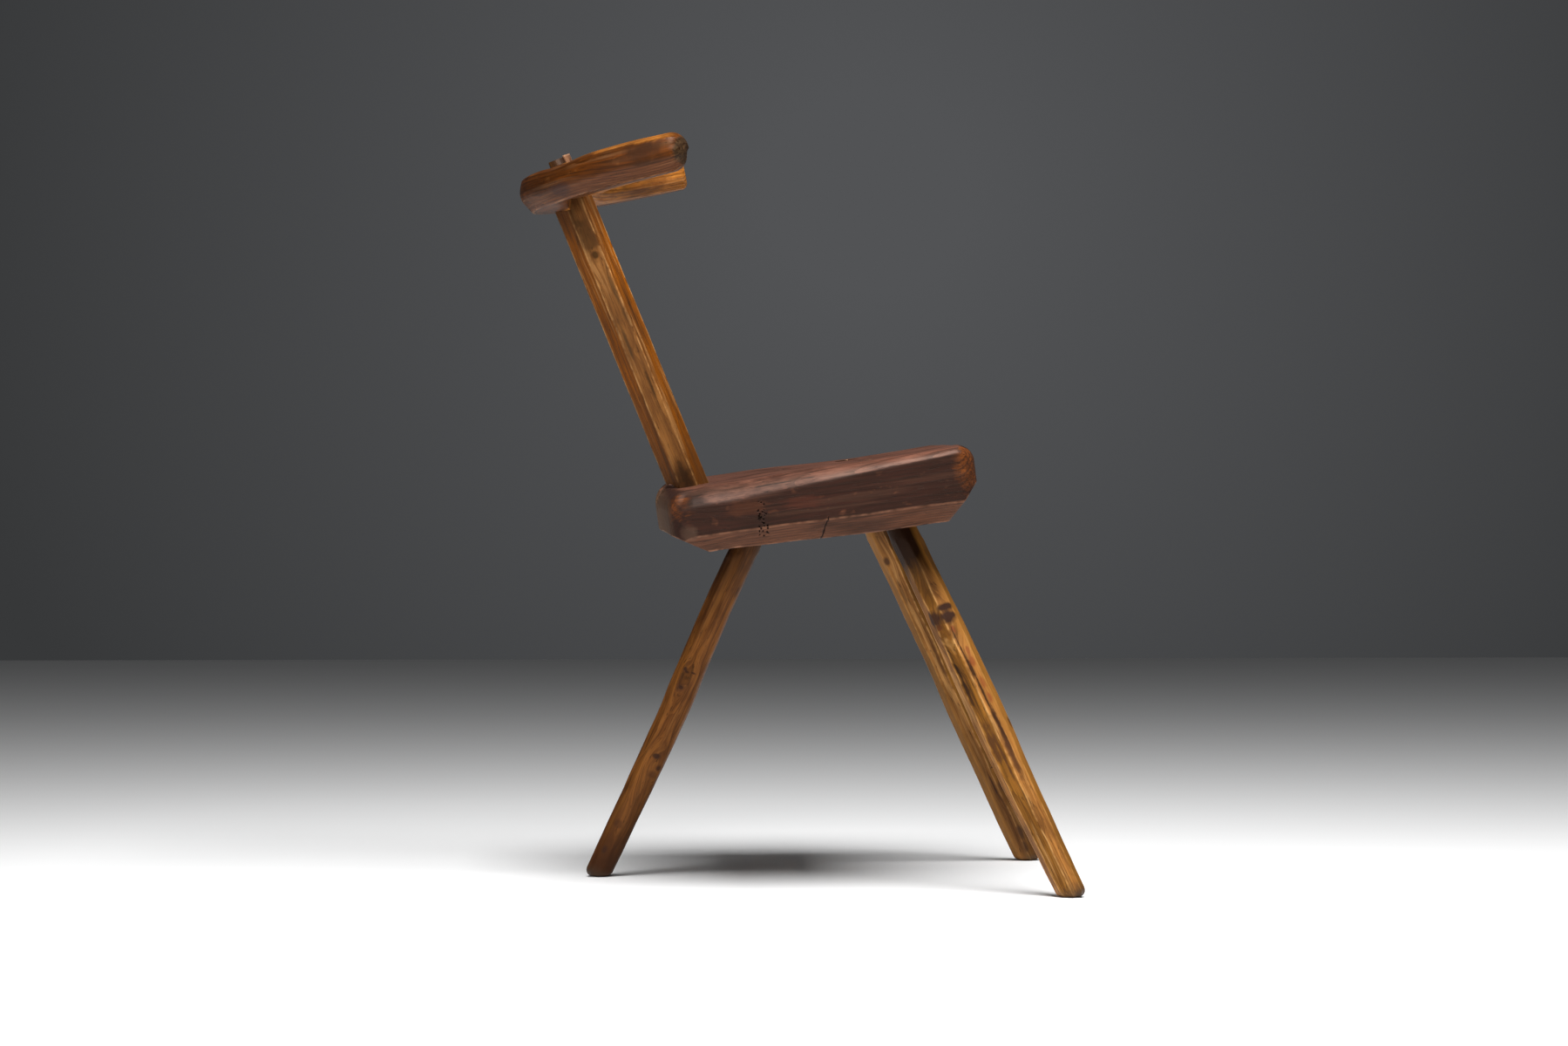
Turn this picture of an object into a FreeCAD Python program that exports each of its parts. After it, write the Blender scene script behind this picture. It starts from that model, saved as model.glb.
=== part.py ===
import FreeCAD, Part
import os
import Sketcher
from FreeCAD import Vector

# Three-legged plank seat with one leaning back post and a crescent crest rail.
# Millimetres and degrees. +Z is up, the seat faces -Y, +X is the sitter's left,
# and the origin is on the floor under the middle of the whole piece.

SIZES = {
    # Seat plank: its top face rises to the front and passes through the seat's own origin.
    "seat_height": 423.8,
    "seat_centre_y": -17.7,
    "seat_pitch": 7.8,
    "seat_length": 304.0,
    "seat_width": 376.0,
    "seat_thickness": 73.5,
    "seat_rear_bow": 9.0,
    "seat_front_bow": 7.0,
    "seat_front_round": 18.0,
    "seat_rear_round": 18.0,
    "seat_side_round": 13.0,
    "side_bevel_run": 24.0,
    "side_bevel_rise": 19.0,
    "front_bevel_run": 38.0,
    "front_bevel_rise": 42.0,
    "rear_bevel_run": 47.0,
    "rear_bevel_rise": 29.0,
    # Legs: each socket is set in from the edges of the seat, on its underside.
    "front_socket_side_inset": 73.0,
    "right_socket_inset": 76.0,
    "right_lean": 27.8,
    "right_sightline": 59.0,
    "left_socket_inset": 86.0,
    "left_lean": 28.6,
    "left_sightline": 60.0,
    "rear_socket_offset": 14.0,
    "rear_socket_inset": 77.4,
    "rear_lean": 23.9,
    "rear_sightline": 81.5,
    "front_leg_across": 29.0,
    "front_foot_across": 25.0,
    "rear_leg_across": 29.5,
    "rear_foot_across": 24.8,
    "front_leg_bow": 3.0,
    "rear_leg_bow": 2.4,
    "foot_chamfer": 2.5,
    "tenon_radius": 14.4,
    "tenon_taper": 2.3,
    "leg_shoulder_drop": 12.0,
    "leg_wedge_depth": 42.0,
    "leg_wedge_head": 5.0,
    "leg_wedge_tip": 0.8,
    # Back post: set in from the rear edge of the seat, on its top face.
    "post_inset": 24.8,
    "post_lean": 22.1,
    "post_length": 302.5,
    "post_across": 41.0,
    "post_corner": 12.0,
    "post_tenon_width": 26.0,
    "post_tenon_depth": 26.0,
    "post_tenon_length": 44.0,
    "foot_wedge_length": 30.0,
    "foot_wedge_head": 5.0,
    "foot_wedge_tip": 1.0,
    # Crest rail: its underside rises to the front and sits on the post's upper shoulder.
    "crest_tilt": 12.4,
    "crest_turn": -1.4,
    "crest_half_width": 176.0,
    "crest_reach": 174.5,
    "crest_rear_setback": 51.5,
    "crest_apex_depth": 68.0,
    "crest_arm_depth": 34.0,
    "crest_height": 44.0,
    "crest_top_drop": 0.3,
    "crest_end_outer_round": 17.0,
    "crest_end_inner_round": 13.0,
    "crest_top_round": 11.0,
    "crest_bottom_bevel": 9.0,
    "crest_tenon_width": 28.0,
    "crest_tenon_depth": 23.0,
    "crest_tenon_forward": 3.5,
    "crest_tenon_proud": 6.0,
    "crest_wedge_length": 46.0,
    "crest_wedge_head": 7.5,
    "crest_wedge_tip": 2.5,
    "crest_wedge_proud": 2.5,
    # Fits.
    "joint_clearance": 0.15,
    "blind_gap": 0.5,
}

doc = FreeCAD.newDocument("tripod_stool")
sheet = doc.addObject("Spreadsheet::Sheet", "Sizes")
for row, (alias, value) in enumerate(SIZES.items(), start=1):
    sheet.set(f"A{row}", alias)
    sheet.set(f"B{row}", str(value))
    sheet.setAlias(f"B{row}", alias)
doc.recompute()

# A through cut is made this much wider than any piece of wood here.
CUT_SPAN = 1000.0


def bind(thing, **expressions):
    for name, expression in expressions.items():
        thing.setExpression(name, expression)


def start_body(name, placement):
    body = doc.addObject("PartDesign::Body", name)
    bind(body, Placement=placement)
    return body


def start_sketch(body, name, role, offset="0"):
    sketch = body.newObject("Sketcher::SketchObject", name)
    plane = [item for item in body.Origin.OriginFeatures if item.Role == role][0]
    sketch.AttachmentSupport = [(plane, "")]
    sketch.MapMode = "FlatFace"
    sketch.setExpression("AttachmentOffset.Base.z", offset)
    return sketch


# Each outline is a list of points, given as pairs of expressions measured from the sketch origin,
# and a list of edges through them: two points make a line, three make an arc.
def draw_outline(sketch, points, edges):
    first = sketch.GeometryCount
    for index, place in enumerate(points):
        point = sketch.addGeometry(Part.Point(Vector(index, index, 0)), True)
        for kind, expression in zip(("DistanceX", "DistanceY"), place):
            row = sketch.addConstraint(Sketcher.Constraint(kind, -1, 1, point, 1, 1.0))
            sketch.setExpression(f"Constraints[{row}]", expression)
    doc.recompute()
    drawn = sketch.Geometry[first:]
    at = [Vector(point.X, point.Y, 0) for point in drawn]
    for edge in edges:
        start, end = edge[0], edge[-1]
        if len(edge) == 2:
            line = sketch.addGeometry(Part.LineSegment(at[start], at[end]), False)
        else:
            through = edge[1]
            turn = (at[through] - at[start]).cross(at[end] - at[through]).z
            if turn < 0:
                start, end = end, start
            line = sketch.addGeometry(Part.Arc(at[start], at[through], at[end]), False)
            sketch.addConstraint(Sketcher.Constraint("PointOnObject", first + through, 1, line))
        sketch.addConstraint(Sketcher.Constraint("Coincident", line, 1, first + start, 1))
        sketch.addConstraint(Sketcher.Constraint("Coincident", line, 2, first + end, 1))


def draw_polygon(sketch, points):
    count = len(points)
    draw_outline(sketch, points, [(index, (index + 1) % count) for index in range(count)])


def draw_octagon(sketch, across, corner, shift="0"):
    near = f"({across}) / 2 - ({corner})"
    far = f"({across}) / 2"
    quarter = [(far, near), (near, far)]
    points = []
    for sign_x, sign_y, order in (("", "", 1), ("-", "", -1), ("-", "-", 1), ("", "-", -1)):
        for along, up in quarter[::order]:
            points.append((f"({shift}) + {sign_x}1 * ({along})", f"{sign_y}1 * ({up})"))
    draw_polygon(sketch, points)


def draw_rectangle(sketch, width, depth, forward="0"):
    left = f"-1 * ({width}) / 2"
    right = f"({width}) / 2"
    front = f"-1 * ({depth}) / 2 - ({forward})"
    back = f"({depth}) / 2 - ({forward})"
    draw_polygon(sketch, [(left, front), (right, front), (right, back), (left, back)])


def add_pad(body, name, sketch, length, side_type="One side", reverse=False):
    pad = body.newObject("PartDesign::Pad", name)
    pad.Profile = sketch
    pad.SideType = side_type
    pad.Reversed = reverse
    bind(pad, Length=length)
    sketch.Visibility = False
    return pad


def add_through_pocket(body, name, sketch):
    pocket = body.newObject("PartDesign::Pocket", name)
    pocket.Profile = sketch
    pocket.SideType = "Symmetric"
    pocket.Length = CUT_SPAN
    doc.recompute()
    return pocket


def add_edge_feature(body, kind, name, test, **sizes):
    doc.recompute()
    base = body.Tip
    names = []
    for index, edge in enumerate(base.Shape.Edges, start=1):
        low, high = edge.ParameterRange
        if test(edge.valueAt((low + high) / 2)):
            names.append(f"Edge{index}")
    feature = body.newObject(kind, name)
    feature.Base = (base, names)
    bind(feature, **sizes)
    doc.recompute()
    return feature


def add_block(name, width, depth, height, placement):
    block = doc.addObject("Part::Box", name)
    bind(block, Length=width, Width=depth, Height=height, Placement=placement)
    return block


def add_boolean(kind, name, base, tool):
    result = doc.addObject(kind, name)
    result.Base = base
    result.Tool = tool
    return result


# Seat plank. Its frame has the top face at zero, and the wood lies below.
SEAT_FRAME = (
    "placement(vector(0; Sizes.seat_centre_y; Sizes.seat_height);"
    " rotation(0; 0; -Sizes.seat_pitch))"
)
seat_blank = start_body("seat_blank", SEAT_FRAME)
seat_plan = start_sketch(seat_blank, "seat_plan", "XY_Plane")
HALF_WIDTH = "Sizes.seat_width / 2"
HALF_LENGTH = "Sizes.seat_length / 2"
SEAT_REAR = f"({HALF_LENGTH} + Sizes.seat_rear_bow)"
SEAT_FRONT = f"({HALF_LENGTH} + Sizes.seat_front_bow)"
draw_outline(
    seat_plan,
    [
        (f"-1 * {HALF_WIDTH}", HALF_LENGTH),
        ("0", SEAT_REAR),
        (HALF_WIDTH, HALF_LENGTH),
        (HALF_WIDTH, f"-1 * {HALF_LENGTH}"),
        ("0", f"-1 * {SEAT_FRONT}"),
        (f"-1 * {HALF_WIDTH}", f"-1 * {HALF_LENGTH}"),
    ],
    [(0, 1, 2), (2, 3), (3, 4, 5), (5, 0)],
)
add_pad(seat_blank, "seat_board", seat_plan, "Sizes.seat_thickness", reverse=True)

half_width = sheet.seat_width / 2
half_length = sheet.seat_length / 2
NEAR = 0.5
add_edge_feature(
    seat_blank, "PartDesign::Fillet", "seat_front_edge",
    lambda p: p.z > -NEAR and p.y < -half_length,
    Radius="Sizes.seat_front_round",
)
add_edge_feature(
    seat_blank, "PartDesign::Fillet", "seat_rear_edge",
    lambda p: p.z > -NEAR and p.y > half_length,
    Radius="Sizes.seat_rear_round",
)
add_edge_feature(
    seat_blank, "PartDesign::Fillet", "seat_side_edges",
    lambda p: abs(p.x) > half_width - NEAR and p.z > NEAR - sheet.seat_thickness,
    Radius="Sizes.seat_side_round",
)


def bevel_triangle(edge, run, rise, sign):
    """Triangle that takes a lower arris off, from an edge measured along the sketch's first axis."""
    outside = f"{sign}1 * ({edge} + {run})"
    inside = f"{sign}1 * ({edge} - 2 * {run})"
    below = f"-1 * Sizes.seat_thickness - {rise}"
    above = f"-1 * Sizes.seat_thickness + 2 * {rise}"
    return [(outside, above), (inside, below), (outside, below)]


seat_ends = start_sketch(seat_blank, "seat_end_bevels", "YZ_Plane")
FRONT_BEVEL = ("Sizes.front_bevel_run", "Sizes.front_bevel_rise")
REAR_BEVEL = ("Sizes.rear_bevel_run", "Sizes.rear_bevel_rise")
draw_polygon(seat_ends, bevel_triangle(SEAT_FRONT, *FRONT_BEVEL, "-"))
draw_polygon(seat_ends, bevel_triangle(SEAT_REAR, *REAR_BEVEL, ""))
add_through_pocket(seat_blank, "seat_end_bevel_cut", seat_ends)
seat_sides = start_sketch(seat_blank, "seat_side_bevels", "XZ_Plane")
SIDE_BEVEL = ("Sizes.side_bevel_run", "Sizes.side_bevel_rise")
for side in ("-", ""):
    draw_polygon(seat_sides, bevel_triangle(HALF_WIDTH, *SIDE_BEVEL, side))
add_through_pocket(seat_blank, "seat_side_bevel_cut", seat_sides)

# Block above the seat's top face, which trims the leg tenons flush.
seat_top_trim = add_block(
    "seat_top_trim", "Sizes.seat_width", "Sizes.seat_length", "Sizes.seat_thickness",
    f"{SEAT_FRAME} * placement(vector(-{HALF_WIDTH}; -{HALF_LENGTH}; 0); rotation(0; 0; 0))",
)

# Legs. Each leg's frame stands on the floor with its third axis along the leg and its first axis in
# the upright plane that the leg leans in, so the floor is square to the second axis.
LEG_STATIONS = (0.10, 0.45, 0.72)
seat_mortises = []


def make_leg(name, socket_x, socket_y, lean, heading, across, foot_across, bow, bow_shares):
    pitch = "Sizes.seat_pitch"
    at_x = f"({socket_x})"
    at_y = f"(Sizes.seat_centre_y + {socket_y} * cos({pitch}) - Sizes.seat_thickness * sin({pitch}))"
    at_z = f"(Sizes.seat_height - {socket_y} * sin({pitch}) - Sizes.seat_thickness * cos({pitch}))"
    reach = f"({at_z} * tan({lean}))"
    foot_x = f"{at_x} - {reach} * cos({heading})"
    foot_y = f"{at_y} - {reach} * sin({heading})"
    frame = f"placement(vector({foot_x}; {foot_y}; 0); rotation({heading}; {lean}; 0))"
    body = start_body(f"{name}_stick", frame)
    axis = f"({at_z} / cos({lean}))"
    squareness = f"(sin({lean}) * sin({heading}) * sin({pitch}) + cos({lean}) * cos({pitch}))"
    in_seat = f"(Sizes.seat_thickness / {squareness})"
    shoulder = f"{axis} - Sizes.leg_shoulder_drop"

    # Hewn eight-sided stick, drawn through sections that carry its slight bow.
    stations = [(f"-1 * {across}", foot_across, "0")]
    for share, bow_share in zip(LEG_STATIONS, bow_shares):
        width = f"{foot_across} + {share} * ({across} - {foot_across})"
        stations.append((f"{share} * {axis}", width, f"{bow_share} * {bow}"))
    stations.append((shoulder, across, "0"))
    sections = []
    for index, (height, width, shift) in enumerate(stations):
        section = start_sketch(body, f"{name}_section_{index}", "XY_Plane", height)
        draw_octagon(section, width, f"({width}) * (1 - sqrt(2) / 2)", shift)
        sections.append(section)
    loft = body.newObject("PartDesign::AdditiveLoft", f"{name}_shaft")
    loft.Profile = sections[0]
    loft.Sections = sections[1:]

    # Tapered round tenon, from the shoulder to beyond the top of the seat.
    tenon_length = f"Sizes.leg_shoulder_drop + {in_seat} + {across}"
    narrowing = "tan(Sizes.tenon_taper)"
    low_radius = f"Sizes.tenon_radius + Sizes.leg_shoulder_drop * {narrowing}"
    high_radius = f"{low_radius} - ({tenon_length}) * {narrowing}"
    tenon = body.newObject("PartDesign::AdditiveCone", f"{name}_tenon")
    plane = [item for item in body.Origin.OriginFeatures if item.Role == "XY_Plane"][0]
    tenon.AttachmentSupport = [(plane, "")]
    tenon.MapMode = "FlatFace"
    tenon.setExpression("AttachmentOffset.Base.z", shoulder)
    bind(tenon, Radius1=low_radius, Radius2=high_radius, Height=tenon_length)

    # Foot sawn level with the floor, its arris eased.
    saw = start_sketch(body, f"{name}_floor_line", "XZ_Plane")
    draw_polygon(saw, [
        (f"-2 * {across}", f"-2 * {across} * tan({lean})"),
        (f"2 * {across}", f"2 * {across} * tan({lean})"),
        (f"2 * {across}", f"-4 * {across}"),
        (f"-2 * {across}", f"-4 * {across}"),
    ])
    add_through_pocket(body, f"{name}_foot", saw)
    place = body.Placement
    add_edge_feature(
        body, "PartDesign::Chamfer", f"{name}_foot_arris",
        lambda p: place.multVec(p).z < NEAR,
        Size="Sizes.foot_chamfer",
    )

    # Matching mortise, and the wedge with its kerf across the grain of the seat.
    mortise = doc.addObject("Part::Cone", f"{name}_mortise")
    bind(
        mortise,
        Radius1=f"{low_radius} + Sizes.joint_clearance",
        Radius2=f"{high_radius} + Sizes.joint_clearance",
        Height=tenon_length,
        Placement=f"{frame} * placement(vector(0; 0; {shoulder}); rotation(0; 0; 0))",
    )
    seat_mortises.append(mortise)
    wedge = start_body(
        f"{name}_wedge_blank",
        f"{frame} * placement(vector(0; 0; {axis} + {in_seat}); rotation(-1 * ({heading}); 0; 0))",
    )
    side_view = start_sketch(wedge, f"{name}_wedge_side", "YZ_Plane")
    draw_polygon(side_view, [
        ("-Sizes.leg_wedge_tip / 2", "-1 * Sizes.leg_wedge_depth"),
        ("Sizes.leg_wedge_tip / 2", "-1 * Sizes.leg_wedge_depth"),
        ("Sizes.leg_wedge_head / 2", across),
        ("-Sizes.leg_wedge_head / 2", across),
    ])
    add_pad(wedge, f"{name}_wedge_stock", side_view, f"2 * {across}", "Symmetric")
    trimmed = add_boolean("Part::Cut", f"{name}_trimmed", body, seat_top_trim)
    leg = add_boolean("Part::Cut", name, trimmed, wedge)
    leg_wedge = add_boolean("Part::Common", f"{name}_wedge", trimmed, wedge)
    return [leg, leg_wedge]


FRONT_SIZES = ("Sizes.front_leg_across", "Sizes.front_foot_across", "Sizes.front_leg_bow")
REAR_SIZES = ("Sizes.rear_leg_across", "Sizes.rear_foot_across", "Sizes.rear_leg_bow")
FRONT_BOW = (0.0, -0.8, -1.0)
REAR_BOW = (-0.95, 1.0, -0.1)
FRONT_SOCKET_X = f"({HALF_WIDTH} - Sizes.front_socket_side_inset)"
pieces = []
pieces += make_leg(
    "front_right_leg", f"-1 * {FRONT_SOCKET_X}", f"(Sizes.right_socket_inset - {HALF_LENGTH})",
    "Sizes.right_lean", "Sizes.right_sightline", *FRONT_SIZES, FRONT_BOW,
)
pieces += make_leg(
    "front_left_leg", FRONT_SOCKET_X, f"(Sizes.left_socket_inset - {HALF_LENGTH})",
    "Sizes.left_lean", "(180 - Sizes.left_sightline)", *FRONT_SIZES, FRONT_BOW,
)
pieces += make_leg(
    "rear_leg", "Sizes.rear_socket_offset", f"({HALF_LENGTH} - Sizes.rear_socket_inset)",
    "Sizes.rear_lean", "(Sizes.rear_sightline - 180)", *REAR_SIZES, REAR_BOW,
)

# Back post. Its frame has its third axis along the post, from the seat's top face upward.
POST_SEAT_Y = f"({HALF_LENGTH} - Sizes.post_inset)"
POST_Y = f"Sizes.seat_centre_y + {POST_SEAT_Y} * cos(Sizes.seat_pitch)"
POST_Z = f"Sizes.seat_height - {POST_SEAT_Y} * sin(Sizes.seat_pitch)"
POST_FRAME = f"placement(vector(0; {POST_Y}; {POST_Z}); rotation(0; 0; -Sizes.post_lean))"
ACROSS = "Sizes.post_across"
LENGTH = "Sizes.post_length"
post_stick = start_body("post_stick", POST_FRAME)
post_section = start_sketch(post_stick, "post_section", "XY_Plane", f"-1 * {ACROSS}")
draw_octagon(post_section, ACROSS, "Sizes.post_corner")
add_pad(post_stick, "post_shaft", post_section, f"{LENGTH} + 2 * {ACROSS}")

# Shoulders sawn to the planes of the seat's top face and the crest rail's underside.
post_shoulders = start_sketch(post_stick, "post_shoulder_lines", "YZ_Plane")
LOW_SLOPE = f"{ACROSS} * tan(Sizes.post_lean - Sizes.seat_pitch)"
HIGH_SLOPE = f"{ACROSS} * tan(Sizes.post_lean - Sizes.crest_tilt)"
draw_polygon(post_shoulders, [
    (f"-1 * {ACROSS}", f"-1 * {LOW_SLOPE}"),
    (ACROSS, LOW_SLOPE),
    (ACROSS, f"-2 * {ACROSS}"),
    (f"-1 * {ACROSS}", f"-2 * {ACROSS}"),
])
draw_polygon(post_shoulders, [
    (f"-1 * {ACROSS}", f"{LENGTH} - {HIGH_SLOPE}"),
    (ACROSS, f"{LENGTH} + {HIGH_SLOPE}"),
    (ACROSS, f"{LENGTH} + 2 * {ACROSS}"),
    (f"-1 * {ACROSS}", f"{LENGTH} + 2 * {ACROSS}"),
])
add_through_pocket(post_stick, "post_shoulder_cut", post_shoulders)

# Blind lower tenon and proud upper tenon, both rooted half a post inside the shaft.
foot_tenon = start_sketch(post_stick, "post_foot_tenon_section", "XY_Plane", f"{ACROSS} / 2")
draw_rectangle(foot_tenon, "Sizes.post_tenon_width", "Sizes.post_tenon_depth")
add_pad(
    post_stick, "post_foot_tenon", foot_tenon,
    f"{ACROSS} / 2 + Sizes.post_tenon_length", reverse=True,
)
CREST_CROSSING = "Sizes.crest_height / cos(Sizes.post_lean - Sizes.crest_tilt)"
TENON_TOP = f"({CREST_CROSSING} + Sizes.crest_tenon_proud)"
head_tenon = start_sketch(post_stick, "post_head_tenon_section", "XY_Plane", f"{LENGTH} - {ACROSS} / 2")
draw_rectangle(
    head_tenon, "Sizes.crest_tenon_width", "Sizes.crest_tenon_depth", "Sizes.crest_tenon_forward",
)
add_pad(post_stick, "post_head_tenon", head_tenon, f"{ACROSS} / 2 + {TENON_TOP}")

# Wedge at the front of the upper tenon, and the hidden wedge in the end of the lower one.
crest_wedge = start_body("crest_wedge", POST_FRAME)
crest_wedge_side = start_sketch(crest_wedge, "crest_wedge_side", "YZ_Plane")
TENON_FRONT = "(-1 * Sizes.crest_tenon_depth / 2 - Sizes.crest_tenon_forward)"
WEDGE_TOP = f"{LENGTH} + {TENON_TOP} + Sizes.crest_wedge_proud"
draw_polygon(crest_wedge_side, [
    (TENON_FRONT, f"{WEDGE_TOP} - Sizes.crest_wedge_length"),
    (f"{TENON_FRONT} + Sizes.crest_wedge_tip", f"{WEDGE_TOP} - Sizes.crest_wedge_length"),
    (f"{TENON_FRONT} + Sizes.crest_wedge_head", WEDGE_TOP),
    (TENON_FRONT, WEDGE_TOP),
])
add_pad(crest_wedge, "crest_wedge_stock", crest_wedge_side, "Sizes.crest_tenon_width", "Symmetric")
post_foot_wedge = start_body("post_foot_wedge", POST_FRAME)
foot_wedge_side = start_sketch(post_foot_wedge, "post_foot_wedge_side", "YZ_Plane")
FOOT_END = "-1 * Sizes.post_tenon_length"
draw_polygon(foot_wedge_side, [
    ("-Sizes.foot_wedge_head / 2", FOOT_END),
    ("Sizes.foot_wedge_head / 2", FOOT_END),
    ("Sizes.foot_wedge_tip / 2", f"{FOOT_END} + Sizes.foot_wedge_length"),
    ("-Sizes.foot_wedge_tip / 2", f"{FOOT_END} + Sizes.foot_wedge_length"),
])
add_pad(post_foot_wedge, "post_foot_wedge_stock", foot_wedge_side, "Sizes.post_tenon_width", "Symmetric")
post_slotted = add_boolean("Part::Cut", "post_slotted", post_stick, crest_wedge)
back_post = add_boolean("Part::Cut", "back_post", post_slotted, post_foot_wedge)
pieces += [back_post, crest_wedge, post_foot_wedge]

# Mortise for the post's lower tenon, then the finished seat.
FIT = "2 * Sizes.joint_clearance"
FOOT_WIDE = f"(Sizes.post_tenon_width + {FIT})"
FOOT_DEEP = f"(Sizes.post_tenon_depth + {FIT})"
FOOT_DOWN = "(Sizes.post_tenon_length + Sizes.blind_gap)"
MORTISE_CORNER = f"vector(-{FOOT_WIDE} / 2; -{FOOT_DEEP} / 2; -{FOOT_DOWN})"
post_mortise = add_block(
    "post_mortise", FOOT_WIDE, FOOT_DEEP, f"{FOOT_DOWN} + {ACROSS}",
    f"{POST_FRAME} * placement({MORTISE_CORNER}; rotation(0; 0; 0))",
)
seat_holes = doc.addObject("Part::MultiFuse", "seat_holes")
seat_holes.Shapes = seat_mortises + [post_mortise]
seat_plank = add_boolean("Part::Cut", "seat_plank", seat_blank, seat_holes)
pieces.append(seat_plank)

# Crest rail. Its frame has the underside at zero, with the post's axis through the origin.
CREST_FRAME = (
    f"{POST_FRAME} * placement(vector(0; 0; {LENGTH});"
    " rotation(0; 0; Sizes.post_lean - Sizes.crest_tilt))"
    " * placement(vector(0; 0; 0); rotation(Sizes.crest_turn; 0; 0))"
)
crest_blank = start_body("crest_blank", CREST_FRAME)
crest_plan = start_sketch(crest_blank, "crest_plan", "XY_Plane")
CREST_END = "-1 * (Sizes.crest_reach - Sizes.crest_rear_setback)"
OUTER = "Sizes.crest_half_width"
INNER = "(Sizes.crest_half_width - Sizes.crest_arm_depth)"
draw_outline(
    crest_plan,
    [
        (f"-1 * {OUTER}", CREST_END),
        ("0", "Sizes.crest_rear_setback"),
        (OUTER, CREST_END),
        (INNER, CREST_END),
        ("0", "Sizes.crest_rear_setback - Sizes.crest_apex_depth"),
        (f"-1 * {INNER}", CREST_END),
    ],
    [(0, 1, 2), (2, 3), (3, 4, 5), (5, 0)],
)
add_pad(crest_blank, "crest_board", crest_plan, "Sizes.crest_height")
crest_slope = start_sketch(crest_blank, "crest_top_slope", "YZ_Plane")
CREST_FALL = "2 * Sizes.crest_reach * tan(Sizes.crest_top_drop)"
draw_polygon(crest_slope, [
    ("Sizes.crest_rear_setback", "Sizes.crest_height"),
    ("Sizes.crest_rear_setback - 2 * Sizes.crest_reach", f"Sizes.crest_height - {CREST_FALL}"),
    ("Sizes.crest_rear_setback - 2 * Sizes.crest_reach", "2 * Sizes.crest_height"),
    ("Sizes.crest_rear_setback", "2 * Sizes.crest_height"),
])
add_through_pocket(crest_blank, "crest_top_cut", crest_slope)

crest_end = sheet.crest_rear_setback - sheet.crest_reach
crest_outer = sheet.crest_half_width
crest_inner = sheet.crest_half_width - sheet.crest_arm_depth


def is_end_corner(p, across):
    return abs(p.y - crest_end) < NEAR and abs(abs(p.x) - across) < NEAR


add_edge_feature(
    crest_blank, "PartDesign::Fillet", "crest_end_outer_corners",
    lambda p: is_end_corner(p, crest_outer),
    Radius="Sizes.crest_end_outer_round",
)
add_edge_feature(
    crest_blank, "PartDesign::Fillet", "crest_end_inner_corners",
    lambda p: is_end_corner(p, crest_inner),
    Radius="Sizes.crest_end_inner_round",
)
add_edge_feature(
    crest_blank, "PartDesign::Chamfer", "crest_bottom_arris",
    lambda p: p.z < NEAR,
    Size="Sizes.crest_bottom_bevel",
)
crest_mid = sheet.crest_height / 2
add_edge_feature(
    crest_blank, "PartDesign::Fillet", "crest_top_arris",
    lambda p: p.z > crest_mid and p.z > 0,
    Radius="Sizes.crest_top_round",
)
HEAD_WIDE = f"(Sizes.crest_tenon_width + {FIT})"
HEAD_DEEP = f"(Sizes.crest_tenon_depth + {FIT})"
crest_mortise = add_block(
    "crest_mortise", HEAD_WIDE, HEAD_DEEP, f"{TENON_TOP} + 2 * {ACROSS}",
    f"{POST_FRAME} * placement(vector(-{HEAD_WIDE} / 2; -{HEAD_DEEP} / 2 - Sizes.crest_tenon_forward;"
    f" {LENGTH} - {ACROSS}); rotation(0; 0; 0))",
)
crest_rail = add_boolean("Part::Cut", "crest_rail", crest_blank, crest_mortise)
pieces.append(crest_rail)

# Every feature must have computed, and every piece must be one sound solid.
doc.recompute()
for item in doc.Objects:
    if "Invalid" in item.State or "Error" in item.State:
        raise RuntimeError(f"{item.Name} did not compute: {item.State}")
os.makedirs("parts", exist_ok=True)
for piece in pieces:
    if piece.Shape.isNull() or not piece.Shape.isValid() or len(piece.Shape.Solids) != 1:
        raise RuntimeError(f"{piece.Label} is not one sound solid")
    piece.Shape.exportStep(f"parts/{piece.Label}.step")
    box = piece.Shape.BoundBox
    print(piece.Label, round(piece.Shape.Volume), [round(v, 1) for v in (
        box.XMin, box.XMax, box.YMin, box.YMax, box.ZMin, box.ZMax)])
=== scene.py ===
import math
from functools import partial

import bmesh
import bpy
import numpy as np
from mathutils import Euler, Matrix, Vector


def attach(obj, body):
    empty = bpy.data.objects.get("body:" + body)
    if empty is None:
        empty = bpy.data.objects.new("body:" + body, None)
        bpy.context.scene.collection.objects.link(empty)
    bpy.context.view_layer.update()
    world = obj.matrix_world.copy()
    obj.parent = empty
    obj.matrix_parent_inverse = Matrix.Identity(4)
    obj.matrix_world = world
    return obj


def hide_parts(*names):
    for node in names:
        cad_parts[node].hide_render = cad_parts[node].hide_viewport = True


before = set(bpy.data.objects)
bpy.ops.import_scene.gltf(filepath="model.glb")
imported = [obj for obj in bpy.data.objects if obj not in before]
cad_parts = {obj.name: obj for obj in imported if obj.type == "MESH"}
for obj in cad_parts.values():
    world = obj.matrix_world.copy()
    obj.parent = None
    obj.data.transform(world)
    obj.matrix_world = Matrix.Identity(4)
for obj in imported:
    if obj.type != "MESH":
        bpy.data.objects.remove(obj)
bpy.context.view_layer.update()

# Seat plank: one thick board of larch, hewn flat, its top edges worn round and its lower edges bevelled.
# The grain runs from front to back. Three leg sockets go through it, and the post's mortise is blind.
MM = 0.001
SEAT_HEIGHT = 423.8
SEAT_CENTRE_Y = -17.7
SEAT_PITCH = math.radians(-7.8)
SEAT_PLACE = (
    Matrix.Translation((0, SEAT_CENTRE_Y * MM, SEAT_HEIGHT * MM)) @ Matrix.Rotation(SEAT_PITCH, 4, "X")
)
SEAT_HALF_WIDTH = 188.0
SEAT_HALF_LENGTH = 152.0
SEAT_FRONT_BOW = 7.0
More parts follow.
